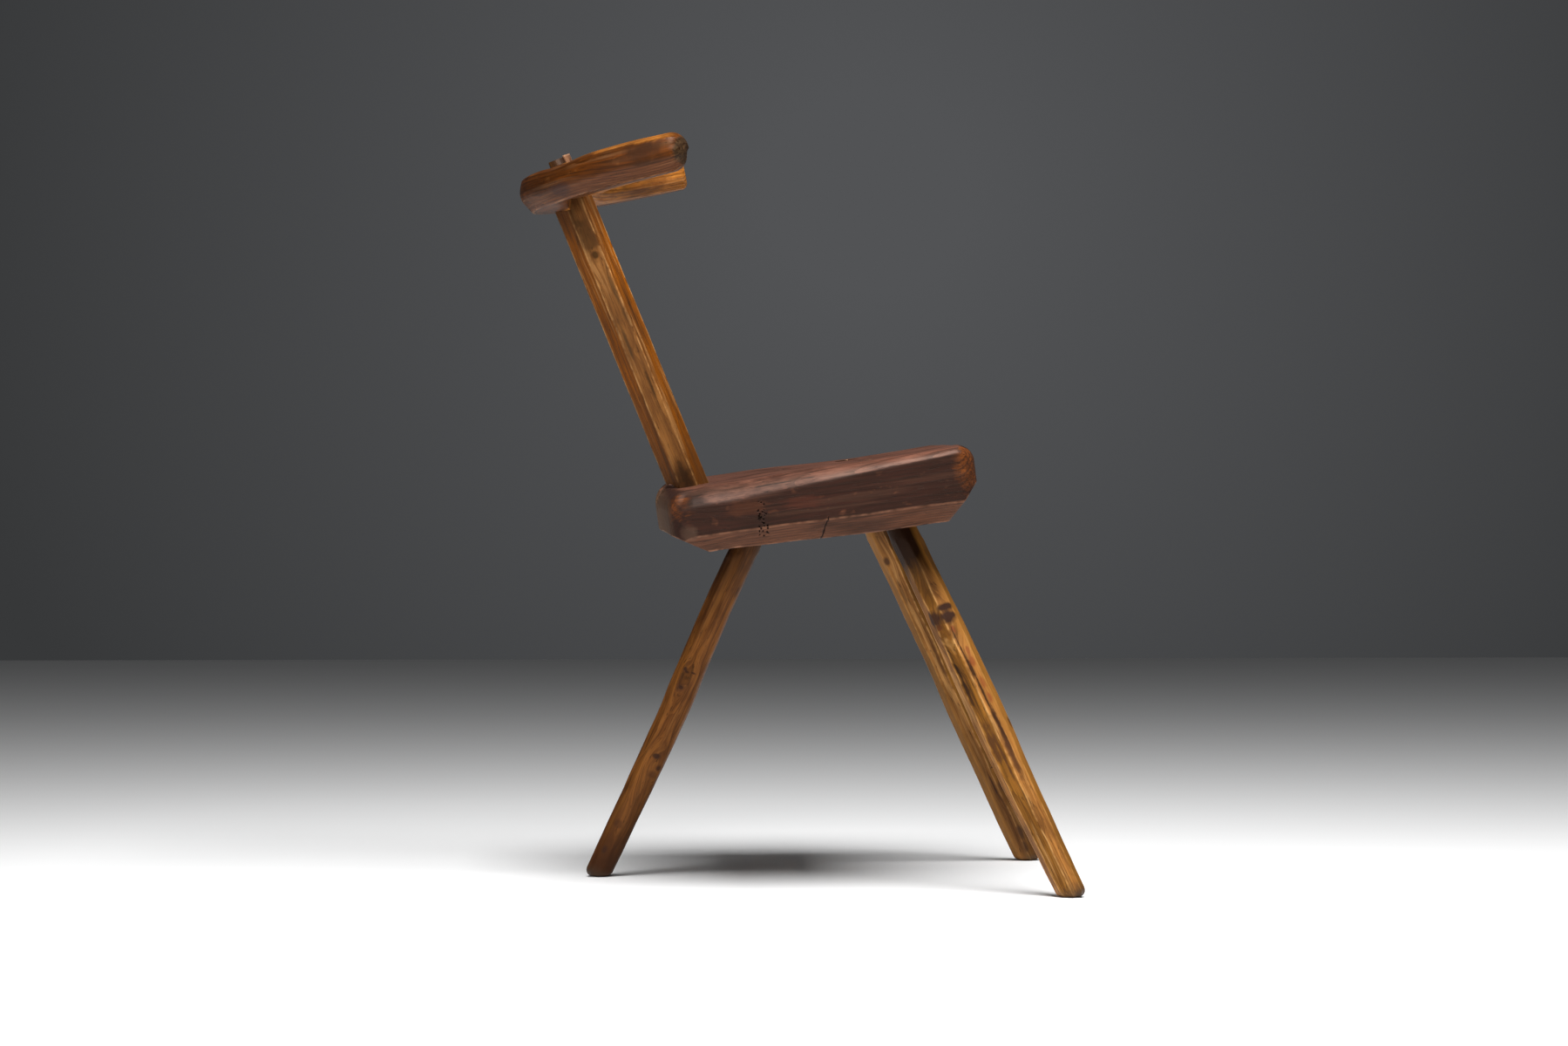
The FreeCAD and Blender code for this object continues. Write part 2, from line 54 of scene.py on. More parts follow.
SEAT_REAR_BOW = 9.0
SEAT_THICKNESS = 73.5
SEAT_REAR_THINNER = 2.4
SEAT_CELLS = (168, 142, 32)
# Run and rise of each bevel, and how many cells of the mesh lie on it.
SIDE_BEVEL = (24.0, 19.0, 12)
FRONT_BEVEL = (38.0, 42.0, 18)
REAR_BEVEL = (47.0, 29.0, 22)
# The drying crack starts behind the post and strays to one side, where it lifts a lip.
CRACK_START = (-19.0, 117.0)
CRACK_SLANT = 0.14
CRACK_LIFT = 4.5
CRACK_FADE = (112, 121)


def block_lattice(cells):
    """Corners, from 0 to 1, and square faces of a closed block with that many cells along each side."""
    quads = []
    for axis in range(3):
        across, along = (axis + 1) % 3, (axis + 2) % 3
        u, v = np.meshgrid(np.arange(cells[across]), np.arange(cells[along]), indexing="ij")
        for end in (0, cells[axis]):
            corners = []
            for du, dv in ((0, 0), (1, 0), (1, 1), (0, 1)):
                corner = np.empty(u.shape + (3,), int)
                corner[..., axis] = end
                corner[..., across] = u + du
                corner[..., along] = v + dv
                corners.append(corner.reshape(-1, 3))
            quads.append(np.stack(corners if end else corners[::-1], axis=1))
    corners, faces = np.unique(np.concatenate(quads).reshape(-1, 3), axis=0, return_inverse=True)
    return corners / np.array(cells), faces.reshape(-1, 4)


def ramp(value, low, high):
    """Smooth step from 0 at low to 1 at high."""
    share = np.clip((value - low) / (high - low), 0, 1)
    return share * share * (3 - 2 * share)


def hand_wobble(points, size, seed):
    """Slow unevenness of hand work, from -1 to 1, with bumps of about that size in millimetres."""
    draw = np.random.default_rng(seed)
    waves = draw.normal(size=(14, points.shape[1])) * (2 / size)
    starts = draw.uniform(0, 2 * math.pi, 14)
    return np.sin(points @ waves.T + starts).sum(axis=1) / 5.3


def crack_line(y):
    """Where the drying crack runs across the seat, from the post's mortise to the rear end."""
    return CRACK_START[0] + CRACK_SLANT * (y - CRACK_START[1])


def bowl(x, y, depth, at, width):
    """Worn hollow, deepest at one place and fading over a width each way."""
    return -depth * np.exp(-(((x - at[0]) / width[0]) ** 2) - ((y - at[1]) / width[1]) ** 2)


def seat_top(x, y):
    """Height of the worn top of the seat over its flat plane, in millimetres."""
    front_sag = bowl(x, y, 2.2, (0, -62), (math.inf, 58))
    dish = bowl(x, y, 3.0, (0, -20), (105, 95))
    by_post = bowl(x, y, 6.3, (-10, 120), (np.where(x < -10, 140, 70), 55))
    near_fall = -4.5 * ramp(x, -60, -170) * ramp(y, -60, 90)
    past_crack = x - crack_line(y)
    behind = ramp(past_crack, -1.2, 1.2) * ramp(y, *CRACK_FADE)
    rear_fall = -2.0 * ramp(y, 105, 150) * (1 - behind)
    lip = CRACK_LIFT * behind * np.exp(-np.maximum(past_crack, 0) / 45)
    return front_sag + dish + by_post + near_fall + rear_fall + lip


def to_place(points, place):
    """Points in millimetres of a piece's own frame, as metres of the shared frame."""
    turned = np.asarray(points) @ np.array(place.to_3x3()).T
    return turned * MM + np.array(place.translation)


def new_piece(name, points, faces, masks=()):
    """Mesh object at the origin, with its place in its points and masks stored as named attributes."""
    mesh = bpy.data.meshes.new(name)
    mesh.from_pydata([tuple(p) for p in points.tolist()], [], faces.tolist())
    for label, values in dict(masks).items():
        kind, field = ("FLOAT_VECTOR", "vector") if values.ndim == 2 else ("FLOAT", "value")
        mesh.attributes.new(label, kind, "POINT").data.foreach_set(field, values.astype(np.float32).ravel())
    piece = bpy.data.objects.new(name, mesh)
    bpy.context.scene.collection.objects.link(piece)
    return piece


def settle(piece):
    """Turns a piece with its modifiers into one plain mesh."""
    graph = bpy.context.evaluated_depsgraph_get()
    whole = piece.evaluated_get(graph)
    mesh = bpy.data.meshes.new_from_object(whole, preserve_all_data_layers=True, depsgraph=graph)
    piece.modifiers.clear()
    piece.data = mesh


def carve(piece, tools, operation="DIFFERENCE"):
    """Cuts the tools out of a piece, or joins them to it."""
    for tool in tools:
        step = piece.modifiers.new("carve", "BOOLEAN")
        step.operation = operation
        step.solver = "MANIFOLD"
        step.object = tool
    settle(piece)


def discard(tools):
    """Takes cutting tools away."""
    for tool in tools:
        bpy.data.objects.remove(tool)


def add_block(name, low, high, place, slope=(0, 0)):
    """Block between two corners in millimetres, in the frame of its place, with sloping ends if asked."""
    corners, faces = block_lattice((1, 1, 1))
    points = np.array(low) + corners * (np.array(high) - np.array(low))
    points[:, 2] += points[:, :2] @ np.array(slope)
    return new_piece(name, to_place(points, place), faces)


# Rows of points follow the straight creases of the bevels, so that these stay crisp.
share, seat_faces = block_lattice(SEAT_CELLS)
side_part = SIDE_BEVEL[2] / SEAT_CELLS[0]
front_part = FRONT_BEVEL[2] / SEAT_CELLS[1]
rear_part = 1 - REAR_BEVEL[2] / SEAT_CELLS[1]
bevel_in = SEAT_HALF_WIDTH - SIDE_BEVEL[0]
front_crease = FRONT_BEVEL[0] - SEAT_HALF_LENGTH - SEAT_FRONT_BOW
rear_crease = SEAT_HALF_LENGTH + SEAT_REAR_BOW - REAR_BEVEL[0]
x = np.interp(
    share[:, 0], (0, side_part, 1 - side_part, 1), (-SEAT_HALF_WIDTH, -bevel_in, bevel_in, SEAT_HALF_WIDTH),
)
bulge = 1 - (x / SEAT_HALF_WIDTH) ** 2
seat_front = -(SEAT_HALF_LENGTH + SEAT_FRONT_BOW * bulge)
seat_rear = SEAT_HALF_LENGTH + SEAT_REAR_BOW * bulge
along = share[:, 1]
y = np.interp(along, (front_part, rear_part), (front_crease, rear_crease))
y_in_front = seat_front + along / front_part * (front_crease - seat_front)
y_in_rear = rear_crease + (along - rear_part) / (1 - rear_part) * (seat_rear - rear_crease)
y = np.where(along < front_part, y_in_front, np.where(along > rear_part, y_in_rear, y))
in_side = SEAT_HALF_WIDTH - np.abs(x)
in_end = np.minimum(y - seat_front, seat_rear - y)
to_rear = ramp(y, -50, 50)

# The upright corners are rounded first.
corner_round = 18 + 6 * to_rear
into_corner = np.maximum(corner_round[:, None] - np.stack([in_side, in_end], axis=1), 0)
longest = into_corner.max(axis=1)
length = np.maximum(np.linalg.norm(into_corner, axis=1), 1e-9)
pull = into_corner * (1 - longest / length)[:, None]
side_sign, end_sign = np.sign(x), np.sign(y)
x = x - side_sign * pull[:, 0]
y = y - end_sign * pull[:, 1]
side_bevel = SIDE_BEVEL[1] * (np.abs(x) - bevel_in) / SIDE_BEVEL[0]
front_bevel = FRONT_BEVEL[1] * (front_crease - y) / FRONT_BEVEL[0]
rear_bevel = REAR_BEVEL[1] * (y - rear_crease) / REAR_BEVEL[0]
steepest = np.maximum(np.maximum(side_bevel, front_bevel), rear_bevel)
thinner = SEAT_REAR_THINNER * ramp(y, -60, 110)
floor_z = np.maximum(steepest, thinner) - SEAT_THICKNESS
z = floor_z + share[:, 2] * (seat_top(x, y) - floor_z)

# The worn round-over of the top is widest at the back of each side and narrow at the front.
in_edge = np.minimum(in_side, in_end)
in_top = seat_top(x, y) - z
at_end = ramp(in_side - in_end, -10, 10)
side_round = 8 + 13 * ramp(y, -150, 110)
end_round = 16 + 3 * to_rear
round_over = side_round + (end_round - side_round) * at_end
worn_wider = 1.25 - 0.25 * at_end
bluntness = 1.5 + 0.45 * at_end
into_edge = np.maximum(round_over - in_edge / worn_wider, 0)
into_top = np.maximum(round_over - in_top, 0)
blunt = np.maximum((into_edge ** bluntness + into_top ** bluntness) ** (1 / bluntness), 1e-9)
keep = np.maximum(into_edge, into_top) / blunt
inward = np.maximum(30 - np.stack([in_side, in_end], axis=1), 0)
inward /= np.maximum(np.linalg.norm(inward, axis=1), 1e-9)[:, None]
rounding = np.where((into_edge > 0) & (into_top > 0), 1 - keep, 0)
x = x - side_sign * inward[:, 0] * rounding * into_edge * worn_wider
y = y - end_sign * inward[:, 1] * rounding * into_edge * worn_wider
z = z - rounding * into_top
seat_points = np.stack([x, y, z], axis=1)
for size, depth, seed in ((70, 0.8, 3), (28, 0.3, 4)):
    for axis in range(3):
        seat_points[:, axis] += depth * hand_wobble(seat_points, size, seed + 10 * axis)
underside = share[:, 2] == 0
bevel_top = underside & (in_edge < 0.5)
bevel_foot = underside & (np.abs(steepest - thinner) < 0.9)

# The material's zones are orange wood at worn corners, the bevels, and the pale top with its shoulder.
# The shoulder's pale tone is worn wood and also a painted highlight, weaker toward the rear.
corner_zone = ramp(in_end, 28 + 6 * to_rear, 2) * ramp(in_side, 30, 4) * ramp(z, -58, -16)
bevel_zone = np.where(underside & (steepest > thinner + 0.5), 1.0, 0.0)
past_crack = x - crack_line(y)
lifted = ramp(past_crack, 0, 1.5) * ramp(past_crack, 60, 20) * ramp(y, *CRACK_FADE)
top_zone = np.where(share[:, 2] == 1, np.maximum(ramp(in_edge, 12, 30), lifted), 0.0)
# Painted highlight: the round-over is painted lighter, less so toward the rear, as well as worn pale.
shoulder_wear_and_highlight = ramp((seat_top(x, y) - z) / round_over, 0.92, 0.72) * (1 - 0.6 * ramp(y, -80, 60))
shoulder_wear_and_highlight *= ramp(in_end, 5 + 13 * to_rear, 20 + 24 * to_rear)
seat_plank = new_piece("seat_plank_hewn", to_place(seat_points, SEAT_PLACE), seat_faces, {
    "arris": np.where(bevel_top, 0.75, 0.0) + np.where(bevel_foot, 0.9, 0.0),
    "zones": np.stack([
        corner_zone * (1 - 0.58 * to_rear), bevel_zone, np.maximum(top_zone, shoulder_wear_and_highlight),
    ], axis=1),
})

# A short check crosses the near bevel, about at the middle of the plank.
CHECK_FROM = np.array((-187.6, -2.2, -51.0))
CHECK_TO = np.array((-162.0, 8.4, -75.0))
CHECK_DEEP = np.array((-7.4, 0.0, -9.4))
CHECK_WIDE = 0.8
check, check_faces = block_lattice((1, 1, 12))
check_points = CHECK_FROM + check[:, 2:] * (CHECK_TO - CHECK_FROM) + (check[:, :1] - 0.5) * CHECK_DEEP
check_points[:, 1] += CHECK_WIDE * (check[:, 1] - 0.5) + 0.7 * hand_wobble(check[:, 2:] * 30, 9, 21)

# The drying crack is a thin wandering cut, wider at the top than deep in the wood.
CRACK_LENGTH = 60.0
CRACK_HEIGHTS = (-38.0, 12.0)
CRACK_WIDTHS = (0.5, 1.4)
crack, crack_faces = block_lattice((1, 16, 14))
crack_y = CRACK_START[1] - 1 + CRACK_LENGTH * crack[:, 1]
crack_z = np.interp(crack[:, 2], (0, 1), CRACK_HEIGHTS)
crack_points = np.stack([np.zeros(len(crack)), crack_y, crack_z], axis=1)
crack_points[:, 0] = crack_line(crack_y) + 0.9 * hand_wobble(crack_points, 16, 8)
crack_points[:, 0] += (crack[:, 0] - 0.5) * np.interp(crack[:, 2], (0, 1), CRACK_WIDTHS)
seat_tools = [
    new_piece("drying_crack", to_place(crack_points, SEAT_PLACE), crack_faces),
    new_piece("bevel_check", to_place(check_points, SEAT_PLACE), check_faces),
]


def linear(code):
    """Colour written as sRGB hex, as the linear values that a shader takes."""
    values = [int(code[i:i + 2], 16) / 255 for i in (1, 3, 5)]
    return [v / 12.92 if v <= 0.04045 else ((v + 0.055) / 1.055) ** 2.4 for v in values] + [1.0]


def add_node(tree, kind, *inputs, **settings):
    """Adds a node with its settings. Inputs are values, or nodes and sockets that are linked.

    A kind in capitals is an operation of a Math node.
    """
    if kind.isupper():
        settings["operation"] = kind
        kind = "ShaderNodeMath"
    node = tree.nodes.new(kind)
    for name, value in settings.items():
        setattr(node, name, value)
    named = inputs[0] if inputs and isinstance(inputs[0], dict) else dict(enumerate(inputs))
    for key, value in named.items():
        if isinstance(value, bpy.types.Node):
            value = value.outputs[0]
        if isinstance(value, bpy.types.NodeSocket):
            tree.links.new(value, node.inputs[key])
        else:
            node.inputs[key].default_value = value
    return node


NOISE = "ShaderNodeTexNoise"
VECTOR = "ShaderNodeVectorMath"
RANGE = "ShaderNodeMapRange"
MIX = "ShaderNodeMix"
JOIN = "ShaderNodeCombineXYZ"
SPLIT = "ShaderNodeSeparateXYZ"
SMOOTH = {"interpolation_type": "SMOOTHSTEP"}
# A wave texture of scale 1 repeats after this distance.
RING_PERIOD = 2 * math.pi / 20


def old_wood(name, tones, place=None, zones=(), marks=(), shades=(), fibre=1.5, rings=3.2, pith=(0.0, 0.0),
             wear=0.5, pale=0.4, streaks=(0.56, 0.7), patina=(0.42, 0.66), roughness=(0.42, 0.6),
             dull_zone=0.0, gloss=0.25, wax=0.05, relief=0.25):
    """Waxed old wood with its grain along the third axis of the place, or of the piece's grain attribute.

    Tones are light, middle, dark, streak and worn arris. Zones are the light and middle tones of the parts
    that the piece's zones attribute marks, some of them painted light. A mark is a knot or a stain: its
    place, size, strength, stretch along the grain and tone. A shade darkens or lightens the wood along one
    axis, as a
    stain or as painted light and shade: axis, start, full, tone and strength.
    """
    material = bpy.data.materials.new(name)
    material.use_nodes = True
    tree = material.node_tree
    add = partial(add_node, tree)
    shader = tree.nodes["Principled BSDF"]
    light, middle, dark, streak_tone, worn = [linear(tone) for tone in tones]
    if place is None:
        coords = add("ShaderNodeAttribute", attribute_name="grain").outputs["Vector"]
    else:
        here = add("ShaderNodeTexCoord").outputs["Object"]
        turn = place.to_euler()
        coords = add("ShaderNodeMapping", here, place.translation, turn, vector_type="TEXTURE").outputs[0]

    # Fibres flow round each knot.
    grain = coords
    for spot, size, strength, stretch, tone in marks:
        if stretch < 2:
            gap = add(VECTOR, coords, [v * MM for v in spot], operation="SUBTRACT")
            flat = add(VECTOR, gap, (1, 1, 0.4), operation="MULTIPLY")
            reach = add(VECTOR, flat, operation="LENGTH").outputs["Value"]
            near = add(RANGE, reach, 3.2 * size * MM, 0.6 * size * MM, 0.0, 0.65, **SMOOTH)
            sideways = add(VECTOR, gap, (1, 1, 0), operation="MULTIPLY")
            shove = add(VECTOR, {"Vector": sideways, "Scale": near}, operation="SCALE")
            grain = add(VECTOR, grain, shove, operation="SUBTRACT").outputs[0]

    # Fibres are drawn as wide as about two pixels, and far longer than they are wide.
    def noise_along(squeeze, size, detail=3.0, rough=0.6):
        at = add(VECTOR, grain, (1, 1, squeeze), operation="MULTIPLY")
        return add(NOISE, {"Vector": at, "Scale": 1 / (size * MM), "Detail": detail, "Roughness": rough})

    fibres = noise_along(0.03, fibre)
    bands = noise_along(0.05, 4.5 * fibre)
    pores = noise_along(0.12, 0.9 * fibre, 2.0)
    clouds = noise_along(0.4, 34)
    blots = noise_along(0.7, 9, 2.0)
    centred = add(VECTOR, grain, (pith[0] * MM, pith[1] * MM, 0), operation="SUBTRACT")
    years = add(
        "ShaderNodeTexWave",
        {"Vector": centred, "Scale": RING_PERIOD / (rings * MM), "Distortion": 5.0, "Detail": 2.0,
         "Detail Scale": 0.16},
        wave_type="RINGS", rings_direction="Z", wave_profile="SAW",
    )

    # Each layer is a mask, its tone and its strength, and lies over the ones before it.
    layers = []
    share = add(RANGE, fibres, 0.38, 0.62)
    dull = add(RANGE, clouds, 0.3, 0.7, *roughness)
    if zones:
        marked = add("ShaderNodeAttribute", attribute_name="zones").outputs["Vector"]
        masks = add(SPLIT, marked).outputs
        for mask, (zone_light, zone_middle) in zip(masks, zones):
            tint = add(MIX, {0: share, 6: linear(zone_light), 7: linear(zone_middle)}, data_type="RGBA")
            ragged = add("MULTIPLY_ADD", blots, 1.2, -0.6)
            ragged = add("MULTIPLY_ADD", mask, 1.4, ragged)
            layers.append((add(RANGE, ragged, 0.15, 0.95), tint.outputs[2], 1.0))
        bare = add("SUBTRACT", 1.0, masks[2])
        dull = add("ADD", dull, add("MULTIPLY", bare, dull_zone))
    late = add(RANGE, years, 0.6, 0.98)
    streak = add(RANGE, bands, *streaks)
    pore = add(RANGE, pores, 0.62, 0.7)
    arris = add("ShaderNodeAttribute", attribute_name="arris").outputs["Fac"]
    layers += [
        (late, dark, 0.5), (add(RANGE, clouds, *patina), dark, 0.75),
        (add(RANGE, bands, 0.44, 0.32), worn, pale), (streak, streak_tone, 0.85), (pore, streak_tone, 0.7),
        (add("MULTIPLY", arris, add(RANGE, blots, 0.36, 0.58)), worn, wear),
    ]
    parts = add(SPLIT, coords)
    # A shade darkens or lightens the wood along one axis: a stain, or painted light and shade.
    for axis, start, full, stain, strength in shades:
        mask = add(RANGE, parts.outputs[axis], start * MM, full * MM)
        layers.append((add("MULTIPLY", mask, add("ADD", clouds, 0.35)), linear(stain), strength))
    # The edge of a mark is ragged, as blots and fibres are.
    for spot, size, strength, stretch, tone in marks:
        gap = add(VECTOR, coords, [v * MM for v in spot], operation="SUBTRACT")
        gap = add(VECTOR, gap, (1, 1, 1 / stretch), operation="MULTIPLY")
        reach = add(VECTOR, gap, operation="LENGTH").outputs["Value"]
        reach = add("ADD", reach, add("MULTIPLY", blots, size * MM * 1.6))
        reach = add("ADD", reach, add("MULTIPLY", fibres, size * MM * 0.8))
        layers.append((add(RANGE, reach, size * MM * 2.3, size * MM * 1.7), linear(tone), strength))
    last = add(MIX, {0: share, 6: light, 7: middle}, data_type="RGBA").outputs[2]
    for mask, tone, strength in layers:
        amount = add("MULTIPLY", mask, strength, use_clamp=True)
        last = add(MIX, {0: amount, 6: last, 7: tone}, data_type="RGBA").outputs[2]

    tree.links.new(last, shader.inputs["Base Color"])
    tree.links.new(dull.outputs[0], shader.inputs["Roughness"])
    for label, value in (
        ("IOR", 1.5), ("Specular IOR Level", gloss), ("Specular Tint", linear("#ffdcc4")),
        ("Coat Weight", wax), ("Coat Roughness", 0.3),
    ):
        shader.inputs[label].default_value = value
    height = add("MULTIPLY", late, 0.6)
    height = add("MULTIPLY_ADD", fibres, 0.7, height)
    height = add("MULTIPLY_ADD", streak, -0.4, height)
    height = add("MULTIPLY_ADD", pore, -0.5, height)
    bump = add("ShaderNodeBump", {"Strength": 1.0, "Distance": relief * MM, "Height": height})
    tree.links.new(bump.outputs[0], shader.inputs["Normal"])
    return material


# Larch plank, stained red-brown and waxed for years: dusty on its worn top, and orange wood at worn corners.
ALONG_SEAT = SEAT_PLACE @ Matrix.Rotation(math.radians(-90), 4, "X")
seat_wood = old_wood(
    "larch_stained_waxed_worn", ("#2c130d", "#200e09", "#170a07", "#100705", "#8c614a"),
    place=ALONG_SEAT, pale=0.07, fibre=1.7, rings=4.0, pith=(30, 170), wear=0.8, roughness=(0.34, 0.5),
    relief=0.34, gloss=0.26, streaks=(0.62, 0.78), patina=(0.46, 0.7), dull_zone=0.26,
    zones=(("#804211", "#542a0c"), ("#5e3825", "#482a1b"), ("#70493a", "#543226")),
    shades=((2, 148, 160, "#5c4432", 1.0),),
    marks=(
        ((-187, 49.8, 134), 9.0, 0.35, 1.0, "#5a4436"), ((-188, 40.2, 112.7), 1.2, 0.95, 1.0, "#0c0605"),
        ((-187, 32.5, 77), 9.0, 0.18, 2.5, "#6a3a20"), ((-186, 34, 20), 8.0, 0.2, 3.0, "#5e2a1a"),
        ((-181, 13.4, 56), 1.3, 0.9, 9.0, "#140a08"), ((-182, 12.6, 36), 1.2, 0.9, 10.0, "#140a08"),
        ((-183, 11.4, 14), 1.1, 0.8, 8.0, "#140a08"),
    ),
)


def dress(piece, material, node):
    """Gives a piece its wood and smooth shading, and lets it stand for its CAD node."""
    piece.data.materials.clear()
    piece.data.materials.append(material)
    piece.data.shade_smooth()
    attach(piece, "root")
    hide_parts(node)


# Three legs: poles of spruce, hewn to eight uneven sides and tapered to the foot.
# Each ends in a round tapered tenon, driven through the seat from below and cut flush with its top.
# Bends are a bow, a sway and a crook. A knot has its rise, its turn in degrees, its swelling and its size.
LEGS = {
    "front_right_leg": dict(
        foot=(-213.1, -266.2), socket=(-115.0, -102.97, 361.29), across=29.0, foot_across=26.8,
        bends=(0.9, 0.9, 0.0), belly=5.0, arris=1.2, wear=0.6, knot=(305, 126, 0.9, 9), twist=5.0, seed=11,
    ),
    "front_left_leg": dict(
        foot=(213.1, -263.0), socket=(115.0, -93.07, 359.94), across=29.0, foot_across=26.5,
        bends=(-0.6, 0.9, 0.0), belly=0.0, arris=1.2, wear=0.6, knot=(118, 150, 0.6, 8), twist=0.0, seed=23,
    ),
    "rear_leg": dict(
        foot=(36.3, 199.5), socket=(14.0, 46.23, 340.86), across=29.5, foot_across=26.0, belly=1.5,
        bends=(1.5, 0.9, -0.6), arris=4.0, wear=0.15, knot=(222, -90, 0.8, 12), twist=-4.0, seed=37,
    ),
}
LEG_SHOULDER_DROP = 12.0
LEG_HEWING = 2.4
FOOT_ROUND = 8.5
FOOT_SKEW = 0.42
TENON_RADIUS = 14.4
TENON_TAPER = math.tan(math.radians(2.3))
SOCKET_PLAY = 0.2
SOCKET_PAST = 12.0
SOCKET_ACROSS = 60.0
SOCKET_SHOULDER = 10.0
# Length of one stroke of the axe, and the share of the width that is cut off each corner.
STROKE = 70.0
CORNER_CUT = 0.207
# Direction of each side of a stick, its share of the corner cut, and whether it takes a corner off.
EIGHT_SIDES = [(45 * i, float(i % 2), i % 2) for i in range(8)]


def hewn_section(add, angle, half_width, half_height, sides, cut, along, seed, hew, softness):
    """Radius of a hewn section at an angle, how near the angle is to an arris, and how far on a corner face.

    Each side is hewn on its own, so it wanders a little along the piece.
    """
    nearest = [None, None]
    for index, (degrees, cut_share, corner) in enumerate(sides):
        turn = math.radians(degrees)
        reach = add("MULTIPLY", half_width, abs(math.cos(turn)))
        reach = add("MULTIPLY_ADD", half_height, abs(math.sin(turn)), reach)
        reach = add("MULTIPLY_ADD", cut, -cut_share, reach)
        lane = add("ADD", seed, 7.3 * index)
        spot = add(JOIN, along, lane)
        strokes = add(NOISE, {"Vector": spot, "Scale": 1.0, "Detail": 2.0}, noise_dimensions="2D")
        stray = add("SUBTRACT", strokes, 0.5)
        reach = add("MULTIPLY_ADD", stray, hew, reach)
        lean = add("SUBTRACT", angle, turn)
        lean = add("MAXIMUM", add("COSINE", lean), 0.15)
        radius = add("DIVIDE", reach, lean)
        if nearest[corner] is None:
            nearest[corner] = radius
        else:
            nearest[corner] = add("MINIMUM", nearest[corner], radius)
    radius = add("SMOOTH_MIN", *nearest, softness)
    gap = add("SUBTRACT", *nearest)
    arris = add(RANGE, add("ABSOLUTE", gap), 0.9 * MM, 0.1 * MM)
    return radius, arris, gap


def start_tree(name, inputs):
    """Geometry node tree with named inputs. Returns the tree, what adds a node to it, and its inputs."""
    tree = bpy.data.node_groups.new(name, "GeometryNodeTree")
    for label in inputs:
        kind = "NodeSocketMaterial" if label == "Wood" else "NodeSocketFloat"
        kind = "NodeSocketVector" if label in ("Place", "Turn") else kind
        tree.interface.new_socket(label, in_out="INPUT", socket_type=kind)
    tree.interface.new_socket("Geometry", in_out="OUTPUT", socket_type="NodeSocketGeometry")
    add = partial(add_node, tree)
    return tree, add, add("NodeGroupInput").outputs


def open_bar(add, around, rings, depth):
    """Plain round bar, with the angle and the level of each of its points."""
    bar = add("GeometryNodeMeshCylinder", {
        "Vertices": around, "Side Segments": rings, "Radius": 1.0, "Depth": depth,
    }, fill_type="NGON")
    spot = add(SPLIT, add("GeometryNodeInputPosition")).outputs
    return bar.outputs["Mesh"], add("ARCTAN2", spot["Y"], spot["X"]), spot["Z"]


def mark_points(add, shape, label, value, kind="FLOAT"):
    """Stores a field on the points of a shape under a name."""
    return add("GeometryNodeStoreNamedAttribute", {
        "Geometry": shape, "Name": label, "Value": value,
    }, data_type=kind, domain="POINT").outputs["Geometry"]


def worn_back(add, distance, radius):
    """How far a rounded end stands back at a distance from it."""
    short = add("SUBTRACT", radius, distance)
    short = add("MAXIMUM", short, 0.0)
    square = add("POWER", radius, 2.0)
    left = add("SUBTRACT", square, add("POWER", short, 2.0))
    left = add("SQRT", add("MAXIMUM", left, 0.0))
    return add("SUBTRACT", radius, left)


def end_tree(add, shape, given):
    """Places the shape and ends the tree."""
    placed = add("GeometryNodeTransform", {
        "Geometry": shape, "Translation": given["Place"], "Rotation": given["Turn"],
    })
    smooth = add("GeometryNodeSetShadeSmooth", {"Geometry": placed})
    real = add("GeometryNodeRealizeInstances", smooth)
    wooden = add("GeometryNodeSetMaterial", {"Geometry": real, "Material": given["Wood"]})
    add("NodeGroupOutput", wooden)


def run_tree(name, tree, place, turn, wood, lengths, numbers):
    """Piece made by a tree, as a plain mesh. Lengths are in millimetres. Inputs not given stay at 0."""
    piece = new_piece(name, np.zeros((0, 3)), np.zeros((0, 3), int))
    maker = piece.modifiers.new("maker", "NODES")
    maker.node_group = tree
    values = {"Place": place, "Turn": turn, "Wood": wood, **numbers}
    values |= {label: length * MM for label, length in lengths.items()}
    for socket in tree.interface.items_tree:
        if socket.in_out == "INPUT":
            maker[socket.identifier] = values.get(socket.name, 0.0)
    settle(piece)
    return piece


